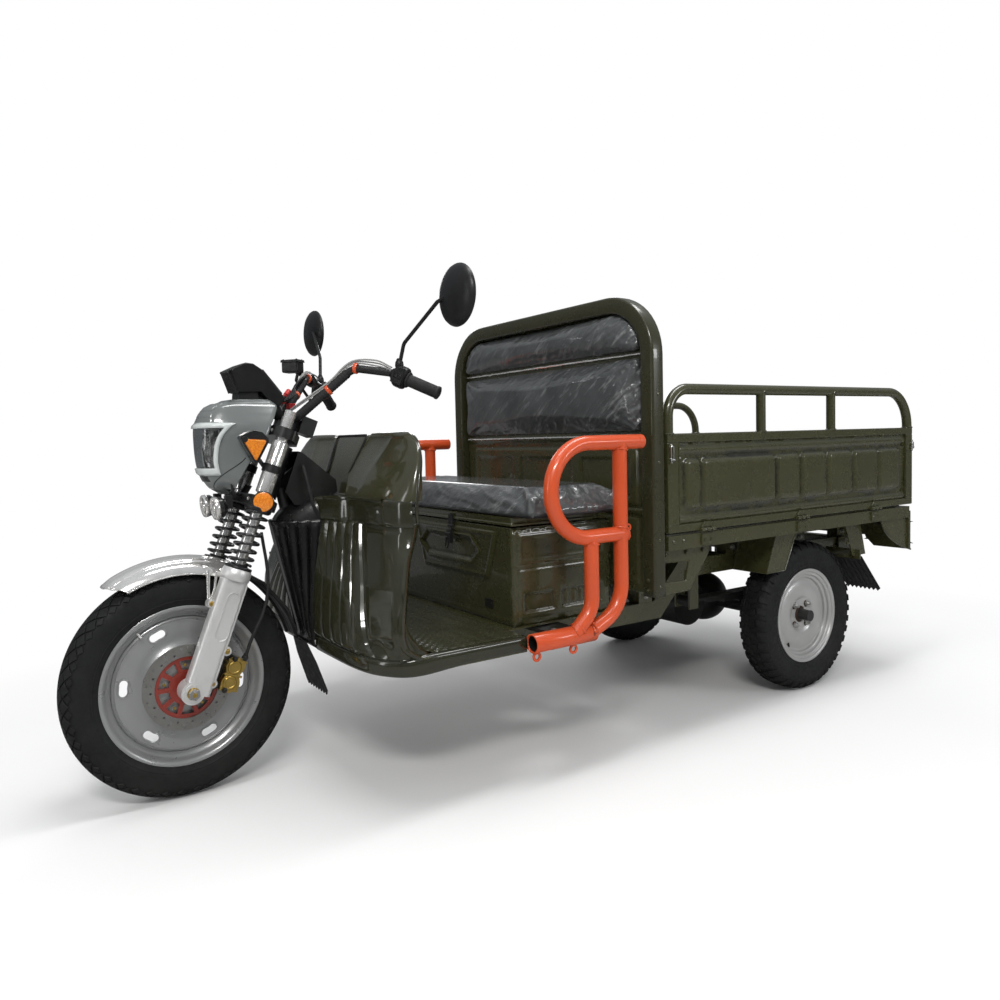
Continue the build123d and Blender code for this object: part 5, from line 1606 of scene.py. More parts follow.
def prow():
    """Black centre guard: upright slats on both flanks of a wedge that leans forward to the neck."""
    rows = []
    count = 46
    for i in range(count + 1):
        t = i / count
        z = lerp(376, 717, t)
        nose, flank = lerp(-848, -928, t), lerp(-844, -806, t)
        half = [Vector((nose, 0, z)), Vector((nose, -14, z)), Vector((nose + 5, -24, z)),
                Vector((lerp(nose, flank, 0.5) - 3, -60, z)), Vector((flank, -92, z))]
        line = curve_through(half, 8)
        stations, lifts = [0.0, 0.07], [2.0, 2.0]
        ends = smooth((t - 0.02) / 0.07) * smooth((0.985 - t) / 0.05)
        for k in range(4):
            for share, lift in ((0.0, -6.0), (0.1, -6.0), (0.2, 0.5), (0.32, 3.6), (0.6, 4.4), (0.82, 3.0),
                                (0.93, -1.0)):
                stations.append(lerp(0.1, 0.97, (k + share) / 4))
                lifts.append(lift * ends)
        stations.append(1.0)
        lifts.append(0.0)
        points = resample_line(line, stations)
        left = [p + outward(points, k) * (lifts[k] - 3.0) for k, p in enumerate(points)]
        rows.append(opposite(reversed(left[1:])) + left)
    shape = Shape().grid(rows)
    rim = [(p.x + 7, p.y, p.z) for p in rows[-1]]
    shape.grid([rows[-1], rim, [(max(x + 14, x), y * 0.98, z - 6) for x, y, z in rim]])
    piece("cowl_prow_slats", shape, SLAT_BLACK, "chassis", ["cowl_grille"], solid=-2.4, sharp=40)
    frame_part = Shape()
    for side in (-1, 1):
        frame_part.tube(curve_through([(-808, side * 92, 716), (-822, side * 92, 620), (-838, side * 92, 470),
                                       (-842, side * 92, 380)], 6), 5, 10)
    piece("cowl_prow_frame", frame_part, SLAT_BLACK)
    foot = Shape()
    rows = []
    for x, z in ((-836, 396), (-842, 390), (-844, 380), (-843, 366), (-838, 357), (-830, 352), (-822, 350)):
        rows.append([Vector((x, y, z)) for y in (-98, -60, -20, 20, 60, 98)])
    foot.grid(rows)
    piece("cowl_prow_foot", foot, SLAT_BLACK, solid=-2)
    cover = Shape()
    rows = []
    for z, nose, flank, half in ((714, -918, -808, 88), (730, -908, -804, 88), (750, -890, -798, 86),
                                 (766, -872, -790, 84),
                                 (775, -856, -784, 80), (779, -838, -778, 76), (780, -800, -770, 60)):
        left = [Vector((nose, 0, z)), Vector((nose, -16, z)), Vector((nose + 8, -28, z)),
                Vector((lerp(nose, flank, 0.5), -62, z)), Vector((flank, -half, z)), Vector((-752, -half, z))]
        line = curve_through(left, 6)
        rows.append(opposite(reversed(line[1:])) + line)
    cover.grid(rows)
    piece("cowl_neck_cover", cover, SLAT_BLACK, sharp=60)


def skirt():
    """Rounded lower edge that runs round the front corners and back along both sides."""
    line = [(-838, -92), (-838, -160), (-835, -300), (-823, -388), (-798, -443), (-762, -481), (-715, -498),
            (-650, -500.5), (-560, -500.5), (-480, -500.5), (-404, -500.5)]
    path = curve_through([(x, y, 0) for x, y in line], 10)
    rows = []
    for k, p in enumerate(path):
        out = outward(path, k, (-1, -1))
        back = smooth((p.x + 800) / 110)
        top = lerp(391, 400.5, back)
        low = lerp(351, 360, smooth((p.x + 790) / 200))
        flat = lerp(1.0, 24.0, back)
        section = [(-flat - 4, top - 4), (-flat, top), (-flat * 0.6, top + 0.4), (-7, top), (-2.5, top - 1.6),
                   (-0.3, top - 6),
                   (0.6, lerp(top, low, 0.4)), (0.8, lerp(top, low, 0.7)), (-1, low + 5), (-4, low + 1),
                   (-9, low),
                   (-15, low + 1.5), (-17, low + 7)]
        rows.append([Vector((p.x, p.y, 0)) + out * a + Vector((0, 0, z)) for a, z in section])
    half = Shape().grid(rows)
    piece("floor_skirt", half.mirrored(), OLIVE_PANEL, solid=-1.8, sharp=50)


def floor_mat():
    """Chequered rubber mat that curves up at the toe board."""
    side = [(-404, 402.5), (-640, 402.5), (-684, 405.5), (-712, 418), (-730, 444), (-739, 490), (-743, 560)]
    path = curve_through([(x, 0, z) for x, z in side], 26)
    half, pitch = 481, 13
    rows = []
    run = 0.0
    for k, p in enumerate(path):
        if k:
            run += (p - path[k - 1]).length
        ahead = ahead_at(path, k)
        up = Vector((ahead.z, 0, -ahead.x)).normalized()
        if up.z < 0:
            up = -up
        row = []
        for j in range(261):
            y = lerp(-half, half, j / 260)
            across = y + 600
            tile = (int(run // pitch) + int(across // pitch)) % 2
            a, b = (run % pitch) / pitch, (across % pitch) / pitch
            bump = math.sin(math.pi * a) * math.sin(math.pi * b)
            edge = smooth((half - abs(y)) / 5) * 3.0 - 3.0
            reach = -22 * smooth((abs(y) - 400) / 80) * smooth((p.z - 404) / 60)
            row.append(p + Vector((reach, y, 0)) + up * (2.6 * bump * (1 if tile else 0.2) + edge))
        rows.append(row)
    # plates that close the corners between the mat's ramp and the turned edge of the shield
    corner = Shape()
    ramp = [(-684, 398), (-702, 404), (-716, 418), (-730, 432), (-742, 446), (-752, 462), (-760, 486)]
    edge = -782
    corner.grid([[Vector((x, -482, z)), Vector((lerp(x, edge, 0.5), -484, z - 2)),
                  Vector((edge, -486, z - 4))]
                 for x, z in ramp])
    feet = (-640, -684, -720, -752, edge)
    corner.grid([[Vector((x, -482, 399)), Vector((x, -496 if x > -730 else -488, 397))] for x in feet])
    corner.mirrored()
    piece("toe_corners", corner, OLIVE_PANEL, solid=1.2)
    mat = Shape().grid(rows)
    piece("floor_mat", mat, MAT, sharp=80, keep=0.5)


shield()
band()
humps()
centre_panel()
prow()
skirt()
floor_mat()


# ---------- pressed sheet panels ----------
def box_distance(u, v, box):
    """How far inside a rounded box a point is; box is (u0, v0, u1, v1, corner)."""
    u0, v0, u1, v1, corner = box
    du = abs(u - (u0 + u1) / 2) - (u1 - u0) / 2 + corner
    dv = abs(v - (v0 + v1) / 2) - (v1 - v0) / 2 + corner
    outside = math.hypot(max(du, 0), max(dv, 0))
    return corner - outside - min(max(du, dv), 0)


def polygon_distance(u, v, points):
    """How far inside a convex outline, given anticlockwise, a point is."""
    best = 1e9
    for (a, b), (c, d) in zip(points, points[1:] + points[:1]):
        run = math.hypot(c - a, d - b)
        best = min(best, ((c - a) * (v - b) - (d - b) * (u - a)) / run)
    return best


def pressed(name, corner, u_dir, v_dir, size, step, height, replaces=(), thick=1.6, ripple=0.35, clip=None):
    """Sheet with pressed shapes: height(u, v) in millimetres along u x v, from one corner."""
    u_dir, v_dir, corner = Vector(u_dir), Vector(v_dir), Vector(corner)
    n = u_dir.cross(v_dir).normalized()
    nu, nv = max(int(size[0] / step), 2), max(int(size[1] / step), 2)
    rows = []
    for j in range(nv + 1):
        v = size[1] * j / nv
        row = []
        for i in range(nu + 1):
            u = size[0] * i / nu
            uu = u if clip is None else clip(u, v)
            place = corner + u_dir * uu + v_dir * v
            dent = ripple * noise.noise(place * 0.011)
            row.append(place + n * (height(uu, v) + dent))
        rows.append(row)
    piece(name, Shape().grid(rows), OLIVE_PRESSED_SHADE, "chassis", replaces, solid=-thick, sharp=60, keep=0.36)


def raised(distance, height, slope=4.0):
    return height * smooth(distance / slope)


def ridge(distance, height, width, slope=3.0):
    """Narrow raised line along an outline."""
    return height * smooth((width / 2 - abs(distance)) / slope)


def seat_box():
    def front(u, v):
        # u runs to the left side from the right side, v up from the floor
        door = polygon_distance(u, v, [(286, 122), (655, 122), (707, 270), (234, 270)])
        h = raised(door, 3.4, 5)
        h += ridge(door - 12, 3.0, 9)
        inside = polygon_distance(u, v, [(316, 168), (566, 168), (606, 202), (566, 236), (316, 236),
                                         (276, 202)])
        h -= raised(inside, 6.0, 6)
        h += ridge(inside + 7, 3.4, 10)
        h += ridge(box_distance(u, v, (-40, 12, 810, 274, 10)), 1.8, 6)
        return h

    pressed("seat_box_front", (-360.5, 385, 398.6), (0, -1, 0), UP, (770, 281), 4.2, front,
            replaces=["seat_box"], ripple=0.8)

    def flank(u, v):
        h = raised(box_distance(u, v, (16, 176, 354, 262, 8)), 3.0, 4)
        h -= raised(box_distance(u, v, (30, 186, 340, 252, 6)), 2.0, 4)
        h += raised(box_distance(u, v, (16, 18, 354, 160, 10)), 3.0, 4)
        for a, b in ((34, 150), (172, 336)):
            h -= raised(box_distance(u, v, (a, 34, b, 92, 6)), 4.5, 5)
        for k in range(5):
            h += raised(box_distance(u, v, (190 + 28 * k, 42, 202 + 28 * k, 84, 4)), 3.2, 3)
        h += ridge(v - 166, 2.2, 7)
        return h

    pressed("seat_box_left", (-360, -385.5, 398.6), REARWARD, UP, (370, 277), 4.2, flank)
    pressed("seat_box_right", (10, 385.5, 398.6), (-1, 0, 0), UP, (370, 277), 4.2, lambda u,
            v: flank(370 - u, v))
    pressed("seat_box_rear", (10.5, -385, 398.6), ACROSS, UP, (770, 257), 9,
            lambda u, v: raised(box_distance(u, v, (60, 40, 710, 210, 20)), 3.0, 8))
    rim = Shape()
    for x0, x1, y0, y1 in ((-361, -345, -386, 386), (-6, 11, -386, 386), (-361, 11, -386, -370),
                           (-361, 11, 370, 386)):
        rim.box((x0, y0, 674 if x0 < -5 else 652), (x1, y1, 679 if x0 < -5 else 656))
    for y in (-383.5, 383.5):
        rim.tube([(-358.5, y, 400), (-358.5, y, 678)], 3.2, 10)
    rim.box((-362, -386, 398.4), (11, 386, 401))
    piece("seat_box_edges", rim, OLIVE, bevel=0.8)
    latch = Shape()
    latch.box((-381, -92, 610), (-369.5, -70, 652))
    latch.tube([(-383, -94, 640), (-383, -68, 640)], 4, 10)
    latch.tube(bent_line([(-384, -88, 628), (-388, -88, 596), (-388, -74, 596), (-384, -74, 628)], 6), 2.4, 8)
    latch.box((-372, -94, 664), (-366, -68, 700))
    latch.tube([(-370, -96, 664), (-370, -66, 664)], 4.4, 10)
    for z in (676, 690):
        for y in (-88, -74):
            latch.rivet((-372, y, z), (-1, 0, 0), 2.6, 1.6)
    piece("seat_latch_hasp", latch, BLACK_PAINT, "seat", ["seat_latch"], bevel=0.8)
    hinges = Shape()
    for y in (270, -270):
        hinges.box((-364, y - 20, 436), (-361, y + 20, 462))
        for dy in (-12, 12):
            hinges.rivet((-364, y + dy, 449), (-1, 0, 0), 3, 1.6)
    piece("door_hinges", hinges, BLACK_PAINT, bevel=0.6)


seat_box()


def seat_lid():
    lid = Shape()
    outline = [(-366.5, 392), (-366.5, -392), (0.5, -392), (0.5, 392)]

    radius = 10

    def ring(out, z):
        pts = []
        for (x, y), (sx, sy) in zip(outline, ((-1, 1), (-1, -1), (1, -1), (1, 1))):
            cx, cy = x - sx * radius, y - sy * radius
            start = math.degrees(math.atan2(sy, sx))
            for k in range(7):
                a = math.radians(start - 45 + 90 * k / 6)
                pts.append(Vector((cx + (radius + out) * math.cos(a), cy + (radius + out) * math.sin(a), z)))
        pts.sort(key=lambda p: math.atan2(p.y / 392, (p.x + 183) / 183))
        return pts

    rows = [ring(-3, 686), ring(0, 685), ring(1.2, 687), ring(1.2, 691), ring(-1.5, 694), ring(-1.5, 701),
            ring(0, 704),
            ring(0, 709), ring(-3, 712), ring(-14, 712.3)]
    lid.grid(rows, wrap=True)
    lid.add(rows[-1], [tuple(range(len(rows[-1])))])
    lid.tube([(3, -310, 661), (3, -230, 661)], 4, 12)
    lid.tube([(3, 230, 661), (3, 310, 661)], 4, 12)
    piece("seat_lid_folded", lid, OLIVE, "seat", ["seat_lid"], sharp=40)


seat_lid()


# ---------- cushions ----------
def crowned_pad(low, high, corner, face):
    """Closed pad block whose outline in the plane across 'face' has rounded corners."""
    ax = "xyz".index(face)
    ua, va = [k for k in range(3) if k != ax]
    u0, u1, v0, v1 = low[ua], high[ua], low[va], high[va]
    corners = corner if isinstance(corner, (list, tuple)) else [corner] * 4
    outline = []
    for (cu, cv, start), r in zip(((u1, v1, 0), (u0, v1, 90), (u0, v0, 180), (u1, v0, 270)), corners):
        mu = cu - math.copysign(r, cu - (u0 + u1) / 2)
        mv = cv - math.copysign(r, cv - (v0 + v1) / 2)
        for k in range(9):
            a = math.radians(start + 90 * k / 8)
            outline.append((mu + r * math.cos(a), mv + r * math.sin(a)))
    rows = []
    for w in (low[ax], high[ax]):
        row = []
        for a, b in outline:
            p = [0, 0, 0]
            p[ax], p[ua], p[va] = w, a, b
            row.append(Vector(p))
        rows.append(row)
    return Shape().grid(rows, wrap=True, caps=True)


def cushion(name, shape, node, body, voxel, pressure, pinned, wrinkle):
    """Inflates a pad with a short cloth run, then creases its film; pinned tells which points are held."""
    obj = new_object(name, shape)
    bpy.context.view_layer.objects.active = obj
    for other in bpy.context.selected_objects:
        other.select_set(False)
    obj.select_set(True)
    modify(obj, "REMESH", mode="VOXEL", voxel_size=voxel * MM)
    bpy.ops.object.modifier_apply(modifier="remesh")
    modify(obj, "SMOOTH", iterations=4)
    bpy.ops.object.modifier_apply(modifier="smooth")
    group = obj.vertex_groups.new(name="held")
    group.add([v.index for v in obj.data.vertices if pinned(v.co / MM)], 1.0, "REPLACE")
    frames = 20
    cloth = modify(obj, "CLOTH")
    cloth.settings.use_pressure = True
    cloth.settings.uniform_pressure_force = pressure
    cloth.settings.vertex_group_mass = "held"
    cloth.settings.effector_weights.gravity = 0
    cloth.settings.quality = 4
    cloth.settings.tension_stiffness = 14
    cloth.settings.compression_stiffness = 14
    cloth.settings.bending_stiffness = 0.8
    cloth.collision_settings.use_collision = False
    cloth.point_cache.frame_start = 1
    cloth.point_cache.frame_end = frames
    for f in range(1, frames + 1):
        SCENE.frame_set(f)
    bpy.ops.object.modifier_apply(modifier="cloth")
    SCENE.frame_set(1)
    bpy.context.view_layer.update()
    data = obj.data
    normals = [v.normal.copy() for v in data.vertices]
    box_low, box_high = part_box(node)
    for v, n in zip(data.vertices, normals):
        if not pinned(v.co / MM):
            v.co += n * wrinkle(v.co / MM, n) * MM
    room = 0.003
    for v in data.vertices:
        for k in range(3):
            v.co[k] = min(max(v.co[k], box_low[k] - room), box_high[k] + room)
    modify(obj, "SUBSURF", levels=1, render_levels=1)
    modify(obj, "DECIMATE", ratio=0.4)
    data.polygons.foreach_set("use_smooth", [True] * len(data.polygons))
    data.materials.clear()
    data.materials.append(LEATHER)
    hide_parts(node)
    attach(obj, body)


def crease(p, direction, scale, sharpness=2.0):
    """Long soft folds along a direction."""
    d = Vector(direction).normalized()
    along = p.dot(d)
    across = p - d * along
    q = across * scale + d * along * scale * 0.16
    value = 1 - abs(noise.noise(q))
    return value ** sharpness


def back_creases(p, n):
    near = smooth((-p.y + 20) / 430)
    fold = crease(p, (0, 0.80, -0.60), 0.05, 4.0) * 4.2 * (0.35 + 0.65 * near)
    gather = crease(p + Vector((0, 0, 300)), (0, 0.7, 0.7), 0.06, 3.0) * 1.4 * smooth((-p.y - 200) / 180)
    fine = noise.noise(p * 0.05) * 0.5
    return fold + gather + fine - 1.2


def seat_creases(p, n):
    front = smooth((-p.x - 310) / 40)
    fold = crease(p, (0.25, 1, 0.1), 0.045, 3.0) * (1.2 + 1.8 * front)
    gather = crease(p + Vector((200, 0, 0)), (0.4, 0.5, 1), 0.07, 3.0) * 2.6 * smooth((abs(p.y) - 380) / 70)
    return fold + gather + noise.noise(p * 0.04) * 0.6 - 1.5


def cushions():
    seat = crowned_pad((-369, -488, 715), (-29, 488, 772), 26, "z")
    cushion("seat_cushion_padded", seat, "seat_cushion", "seat", 6.5, 3.0, lambda p: p.z < 720, seat_creases)
    upper = crowned_pad((56, -464, 1186), (83, 464, 1306), (112, 112, 20, 20), "x")
    cushion("backrest_pad_upper", upper, "backrest_cushion_upper", "chassis", 5.5, 4.0, lambda p: p.x > 78,
            back_creases)
    lower = crowned_pad((58, -468, 943), (83, 468, 1165), (26, 26, 22, 22), "x")
    cushion("backrest_pad_lower", lower, "backrest_cushion_lower", "chassis", 5.5, 3.4, lambda p: p.x > 78,
            back_creases)
    welt = Shape()
    for z, half in ((1176, 470), (930, 472)):
        path = [Vector((76 + 2 * noise.noise(Vector((y * 0.02, z, 0))), y,
                        z + 1.5 * noise.noise(Vector((y * 0.03, 0, z)))))
                for y in (lerp(-half, half, k / 60) for k in range(61))]
        welt.tube(path, 3.4, 8)
    piece("backrest_welts", welt, CHROME, slot="leather")
    seam = Shape()
    seam.tube([(-366, -480, 716), (-366, 480, 716)], 3.2, 8)
    for y in (-488, 488):
        seam.tube([(-360, y, 717), (-36, y, 717)], 3.2, 8)
    piece("seat_cushion_welt", seam, BLACK, "seat", slot="leather")


cushions()


# ---------- backrest ----------
def arch_line(half, low, top, radius):
    """From the lower left, over the arch, to the lower right, each with the direction towards the middle."""
    out = []
    count, steps = 30, 14
    for k in range(count):
        out.append((-half, lerp(low, top - radius, k / count), 1.0, 0.0))
    for side in (-1, 1):
        for k in range(steps + 1):
            a = math.pi / 2 * k / steps
            if side < 0:
                c, s = math.cos(a), math.sin(a)
            else:
                c, s = math.cos(math.pi / 2 - a), math.sin(math.pi / 2 - a)
            out.append((side * (half - radius) + side * radius * c, top - radius + radius * s, -side * c, -s))
        if side < 0:
            for k in range(1, 20):
                out.append((lerp(-(half - radius), half - radius, k / 20), top, 0.0, -1.0))
    for k in range(1, count + 1):
        out.append((half, lerp(top - radius, low, k / count), -1.0, 0.0))
    return out


def backrest():
    section = [(14, 97), (4, 97), (0.8, 95), (0, 91), (0, 59), (1.0, 54.4), (3.6, 51.2), (8, 50), (42, 50),
               (46.4, 51),
               (49, 54), (50, 59), (50, 84), (54, 84)]
    rows = []
    for y, z, iy, iz in arch_line(533, 450, 1358, 190):
        rows.append([Vector((x, y + iy * d, z + iz * d)) for d, x in section])
    frame_part = Shape().grid(rows)
    piece("backrest_channel", frame_part, OLIVE_ARCH, "chassis", ["backrest_frame"], solid=-1.8, sharp=60)

    def sheet(u, v):
        # u across from the left edge, v up from the bottom; the sheet faces forward
        z = 452 + v
        h = ridge(z - 926, 6.0, 16, 5)
        h += raised(box_distance(u, z, (40, 716, 926, 896, 14)), 5.0, 7)
        for a, b in ((70, 300), (340, 626), (666, 896)):
            h -= raised(box_distance(u, z, (a, 736, b, 866, 10)), 4.0, 6)
        h += ridge(z - 700, 4.0, 12, 4)
        h += raised(box_distance(u, z, (40, 470, 926, 680, 14)), 4.0, 7)
        return h

    def clip(u, v):
        z = 452 + v
        half, radius = 484.0, 142.0
        if z > 1310 - radius:
            k = z - (1310 - radius)
            half = 484 - radius + math.sqrt(max(radius * radius - k * k, 0))
        return 483 + (u - 483) / 483 * half

    pressed("backrest_sheet", (84, 483, 452), (0, -1, 0), UP, (966, 856), 5.2,
            sheet, thick=1.4, ripple=0.9, clip=clip)
    bolts = Shape()
    for z in (480, 620, 850, 1050):
        for side in (-1, 1):
            bolts.rivet((74, side * 533, z), (0, side, 0), 5, 2.4)
    for side in (-1, 1):
        for z in (470, 500):
            bolts.bolt((49.5, side * 508, z), (-1, 0, 0), 6, 4)
    piece("backrest_rivets", bolts, OLIVE)


backrest()


# ---------- guard bars ----------
def guard_bars():
    """Tubes of both guard bars with their weld beads, open feet and fixings."""
    for side, label in SIDES:
        y = side * GUARD_SIDE
        bar = Shape()
        bar.tube(bent_line([(8, y, 914), (-330, y, 914), (-330, y, 653), (-60, y, 653)], 129, 22), 21, 28)
        bar.tube(bent_line([(-77, y, 912), (-77, y, 440), (-205, y, 384)], 110, 16), 21, 26)
        bar.tube(bent_line([(-190, y, 651), (-190, y, 450), (-258, y, 388)], 80, 14), 21, 26)
        foot_y = side * GUARD_FOOT_SIDE
        bar.turned((-402, foot_y, 385), [(22, 102), (22, 0.8), (22.8, 0), (25.2, 0), (26, 0.8), (26, 216),
                                         (25, 217),
                                         (0, 217)], REARWARD, 36)
        for x in (-386, -258):
            bar.ring((x, side * 519.5, 348), ACROSS, 10.5, 3.9, 30, 10)
        bar.ring((-47, y, 668), ACROSS, 8.5, 3.2, 26, 10)
        piece("guard_bar_tubes_" + label, bar, ORANGE, "chassis", ["guard_bar_" + label], sharp=50)
    beads, inside, bolts, bracket = Shape(), Shape(), Shape(), Shape()
    for side in (-1, 1):
        y = side * GUARD_SIDE
        for centre, axis, radius in (((-77, y, 894), UP, 21.5), ((-77, y, 672), UP, 21.5),
                                     ((-62, y, 653), REARWARD, 21.5), ((-190, y, 634), UP, 21.5),
                                     ((-240, side * 522, 400), (-0.7, 0, -0.6), 23),
                                     ((-192, side * 522, 398), (-0.8, 0, -0.4), 23)):
            ring = []
            axis = Vector(axis).normalized()
            u = axis.orthogonal().normalized()
            v = axis.cross(u)
            for k in range(33):
                a = TURN * k / 32
                reach = radius + 0.5 * noise.noise(Vector((k, y, 1)))
                ring.append(Vector(centre) + (u * math.cos(a) + v * math.sin(a)) * reach
                            + axis * 2.2 * math.cos(2 * a))
            beads.tube(ring, [2.6 + 0.7 * math.sin(k * 2.4) for k in range(33)], 7, caps=False)
        inside.turned((-330, side * GUARD_FOOT_SIDE, 385), [(21.8, -66), (21.8, 20), (0, 20)], REARWARD, 30)
        y0, y1 = sorted((side * 500, side * 300))
        bracket.box((-300, y0, 379), (-200, y1, 391))
        for x in (-285, -215):
            bolts.bolt((x, side * 470, 391), UP, 9, 7)
    piece("guard_weld_beads", beads, ORANGE)
    piece("guard_foot_bores", inside, BLACK, slot="black_paint")
    piece("guard_brackets", bracket, BLACK_PAINT, bevel=1.0)
    piece("guard_bolts", bolts, ZINC, sharp=25)


guard_bars()


# ---------- bed boards ----------
GROOVES = (266, 637, 770, 925, 1082, 1249)


def board_relief(u, z, width, grooves):
    """Pressed shape of a board's sheet; u from its left end, z above the ground."""
    mid, left = width / 2, 50.0
    ends = smooth((mid - abs(u - mid) - left + 4) / 8)
    h = (ridge(z - 884.5, 6.0, 22, 6) + ridge(z - 671, 6.0, 20, 6) - ridge(z - 865, 4.0, 9, 4)
         - ridge(z - 692, 4.0, 9, 4)) * ends
    stops = [left + 20] + list(grooves) + [width - left - 34]
    for a, b in zip(stops[:-1], stops[1:]):
        if a - 12 <= u <= b + 12:
            h = max(h, raised(box_distance(u, z, (a + 8, 704, b - 8, 853, 12)), 10.5, 4.5))
    return h


def framed_board(name, origin, along, out, width, thick, grooves, body, replaces, cell=4.6, low=634.0):
    """Welded board: a folded frame all round with a pressed sheet on both faces."""
    high = 932.0
    origin, along, out = Vector(origin), Vector(along), Vector(out)
    up = Vector(UP)

    def at(u, w, z):
        return origin + along * u + out * w + up * z

    edges = Shape()

    def bar(u0, u1, z0, z1):
        corners = [at(u, w, z) for u in (u0, u1) for w in (0.0, -thick) for z in (z0, z1)]
        edges.add(corners, [(0, 1, 3, 2), (4, 6, 7, 5), (0, 4, 5, 1), (2, 3, 7, 6), (0, 2, 6, 4),
                            (1, 5, 7, 3)])

    bar(0, width, 906 - 634 + low, high)
    bar(0, width, low, low + 24)
    bar(0, 47, low + 23, high - 25)
    bar(width - 47, width, low + 23, high - 25)
    lines = Shape()
    for u in (47.5, width - 47.5):
        lines.tube([at(u, 0.2, low + 24), at(u, 0.2, high - 26)], 1.3, 6)
    piece(name + "_frame", edges, OLIVE, body, replaces, bevel=3.0)
    piece(name + "_frame_welds", lines, OLIVE, body)
    flip = along.cross(up).dot(out) < 0
    # the inner sheet shows half of the outer sheet's relief, the other way round
    sheets = (("outer", -9.0, cell, flip, 1), ("inner", -thick + 5.0, 9.0, not flip, -0.5))
    for label, base, cell_size, turn, share in sheets:
        nu, nv = int((width - 88) / cell_size), int((high - low - 44) / cell_size)
        rows = []
        for j in range(nv + 1):
            z = lerp(low + 22, high - 22, j / nv)
            row = []
            for i in range(nu + 1):
                u = lerp(44, width - 44, i / nu)
                h = share * board_relief(u, z - low + 634, width, grooves)
                p = at(u, 0, z)
                h += 0.5 * noise.noise(p * 0.009)
                row.append(at(u, base + h, z))
            rows.append(row)
        if turn:
            rows = [list(reversed(r)) for r in rows]
        piece(name + "_sheet_" + label, Shape().grid(rows), OLIVE_PRESSED_SHADE, body,
              solid=-1.2, sharp=60, keep=0.36)


def hinge(shape, pins, centre, along, out, top=690.0, half=30.0):
    """Hinge leaf with its knuckles and two bolts."""
    centre, along, out = Vector(centre), Vector(along), Vector(out)
    up = Vector(UP)
    pin = up * 636
    outline = [(-half, 8), (half, 8), (half, top - 650), (half - 12, top - 636), (-half + 12, top - 636),
               (-half, top - 650)]
    shape.prism(outline, centre + pin, along, up, 4.5 if along.cross(up).dot(out) > 0 else -4.5, 0.6)
    for a in (-24, 0, 24):
        start = centre + along * (a - 8) + out * 6 + pin
        shape.tube([start, start + along * 16], 6.4, 14)
    pins.tube([centre - along * (half + 3) + out * 6 + pin, centre + along * (half + 3) + out * 6 + pin], 3.4,
              10)
    for a in (-15, 15):
        if top > 680:
            shape.bolt(centre + along * a + out * 4 + up * 668, out, 6.0, 3.0, washer=False)


def side_boards():
    for side, label in SIDES:
        body = label + "_drop_side"
        framed_board("side_board_" + label, (117, side * BOARD_SIDE, 0), REARWARD, (0, side, 0), 1369, 28,
                     [g - 117 for g in GROOVES], body, ["side_board_" + label])
        y = side * 514
        rail = Shape()
        rail.tube(bent_line([(131, y, 926), (131, y, 1068), (1471, y, 1068), (1471, y, 926)], [85, 130], 16),
                  16.5, 24)
        for x in (573, 965):
            rail.tube([(x, y, 930), (x, y, 1064)], 15, 22)
        piece("railing_" + label, rail, OLIVE, body)
        beads = Shape()
        for x, radius in ((131, 16.5), (573, 15), (965, 15), (1471, 16.5)):
            ring = [(x + (radius + 1) * math.cos(a), y + (radius + 1) * math.sin(a),
                     933 + 0.8 * math.sin(5 * a))
                    for a in (TURN * k / 28 for k in range(29))]
            beads.tube(ring, [2.4 + 0.8 * math.sin(k * 2.1) for k in range(29)], 7, caps=False)
        for x in (573, 965):
            ring = [(x + 16 * math.cos(a), y + 16 * math.sin(a),
                     1068 - math.sqrt(max(272 - 256 * math.sin(a) ** 2, 0)))
                    for a in (TURN * k / 28 for k in range(29))]
            beads.tube(ring, 2.4, 7, caps=False)
        piece("railing_beads_" + label, beads, OLIVE, body)
        leaves, pins = Shape(), Shape()
        for x in (284, 770, 1221):
            hinge(leaves, pins, (x, side * BOARD_SIDE, 0), REARWARD, (0, side, 0), top=660.0, half=26.0)
        piece("side_hinges_" + label, leaves, OLIVE, body, bevel=0.7)
        piece("side_hinge_pins_" + label, pins, ZINC, body, sharp=25)
        latch, shiny = Shape(), Shape()
        y0 = side * BOARD_SIDE
        for x0, x1, z0, z1 in ((120, 139, 842, 904), (1468, 1484, 842, 884)):
            low_y, high_y = sorted((y0, y0 + side * 3))
            latch.box((x0, low_y, z0), (x1, high_y, z1))
            mid = (x0 + x1) / 2
            shiny.tube(bent_line([(mid - 5, y0 + side * 6, z0 + 8), (mid - 5, y0 + side * 6, z1 - 8),
                                  (mid + 5, y0 + side * 6, z1 - 8), (mid + 5, y0 + side * 6, z0 + 8)], 4, 5),
                       2.2, 8)
            shiny.tube([(mid - 9, y0 + side * 5, z0 + 14), (mid + 9, y0 + side * 5, z0 + 14)], 3.6, 10)
            for z in (z0 + 6, z1 - 5):
                shiny.rivet((mid, y0 + side * 3, z), (0, side, 0), 3.2, 1.8)
        piece("side_latch_plates_" + label, latch, OLIVE, body, bevel=0.8)
        piece("side_latch_clips_" + label, shiny, ZINC, body)


def end_boards():
    framed_board("tailgate", (1486, -494, 0), ACROSS, REARWARD, 988, 28, [124, 248, 371, 494, 617, 740, 864],
                 "rear_gate", ["tailgate"], cell=5.4)
    leaves, pins = Shape(), Shape()
    for y in (-330, 0, 330):
        hinge(leaves, pins, (1486, y, 0), ACROSS, REARWARD)
    piece("tailgate_hinges", leaves, OLIVE, "rear_gate", bevel=0.7)
    piece("tailgate_hinge_pins", pins, ZINC, "rear_gate", sharp=25)
    framed_board("bed_front", (115, -494, 0), ACROSS, (-1, 0, 0), 988, 28, [164, 329, 494, 659, 823],
                 "chassis",
                 ["bed_front_board"], cell=8.0, low=628.0)


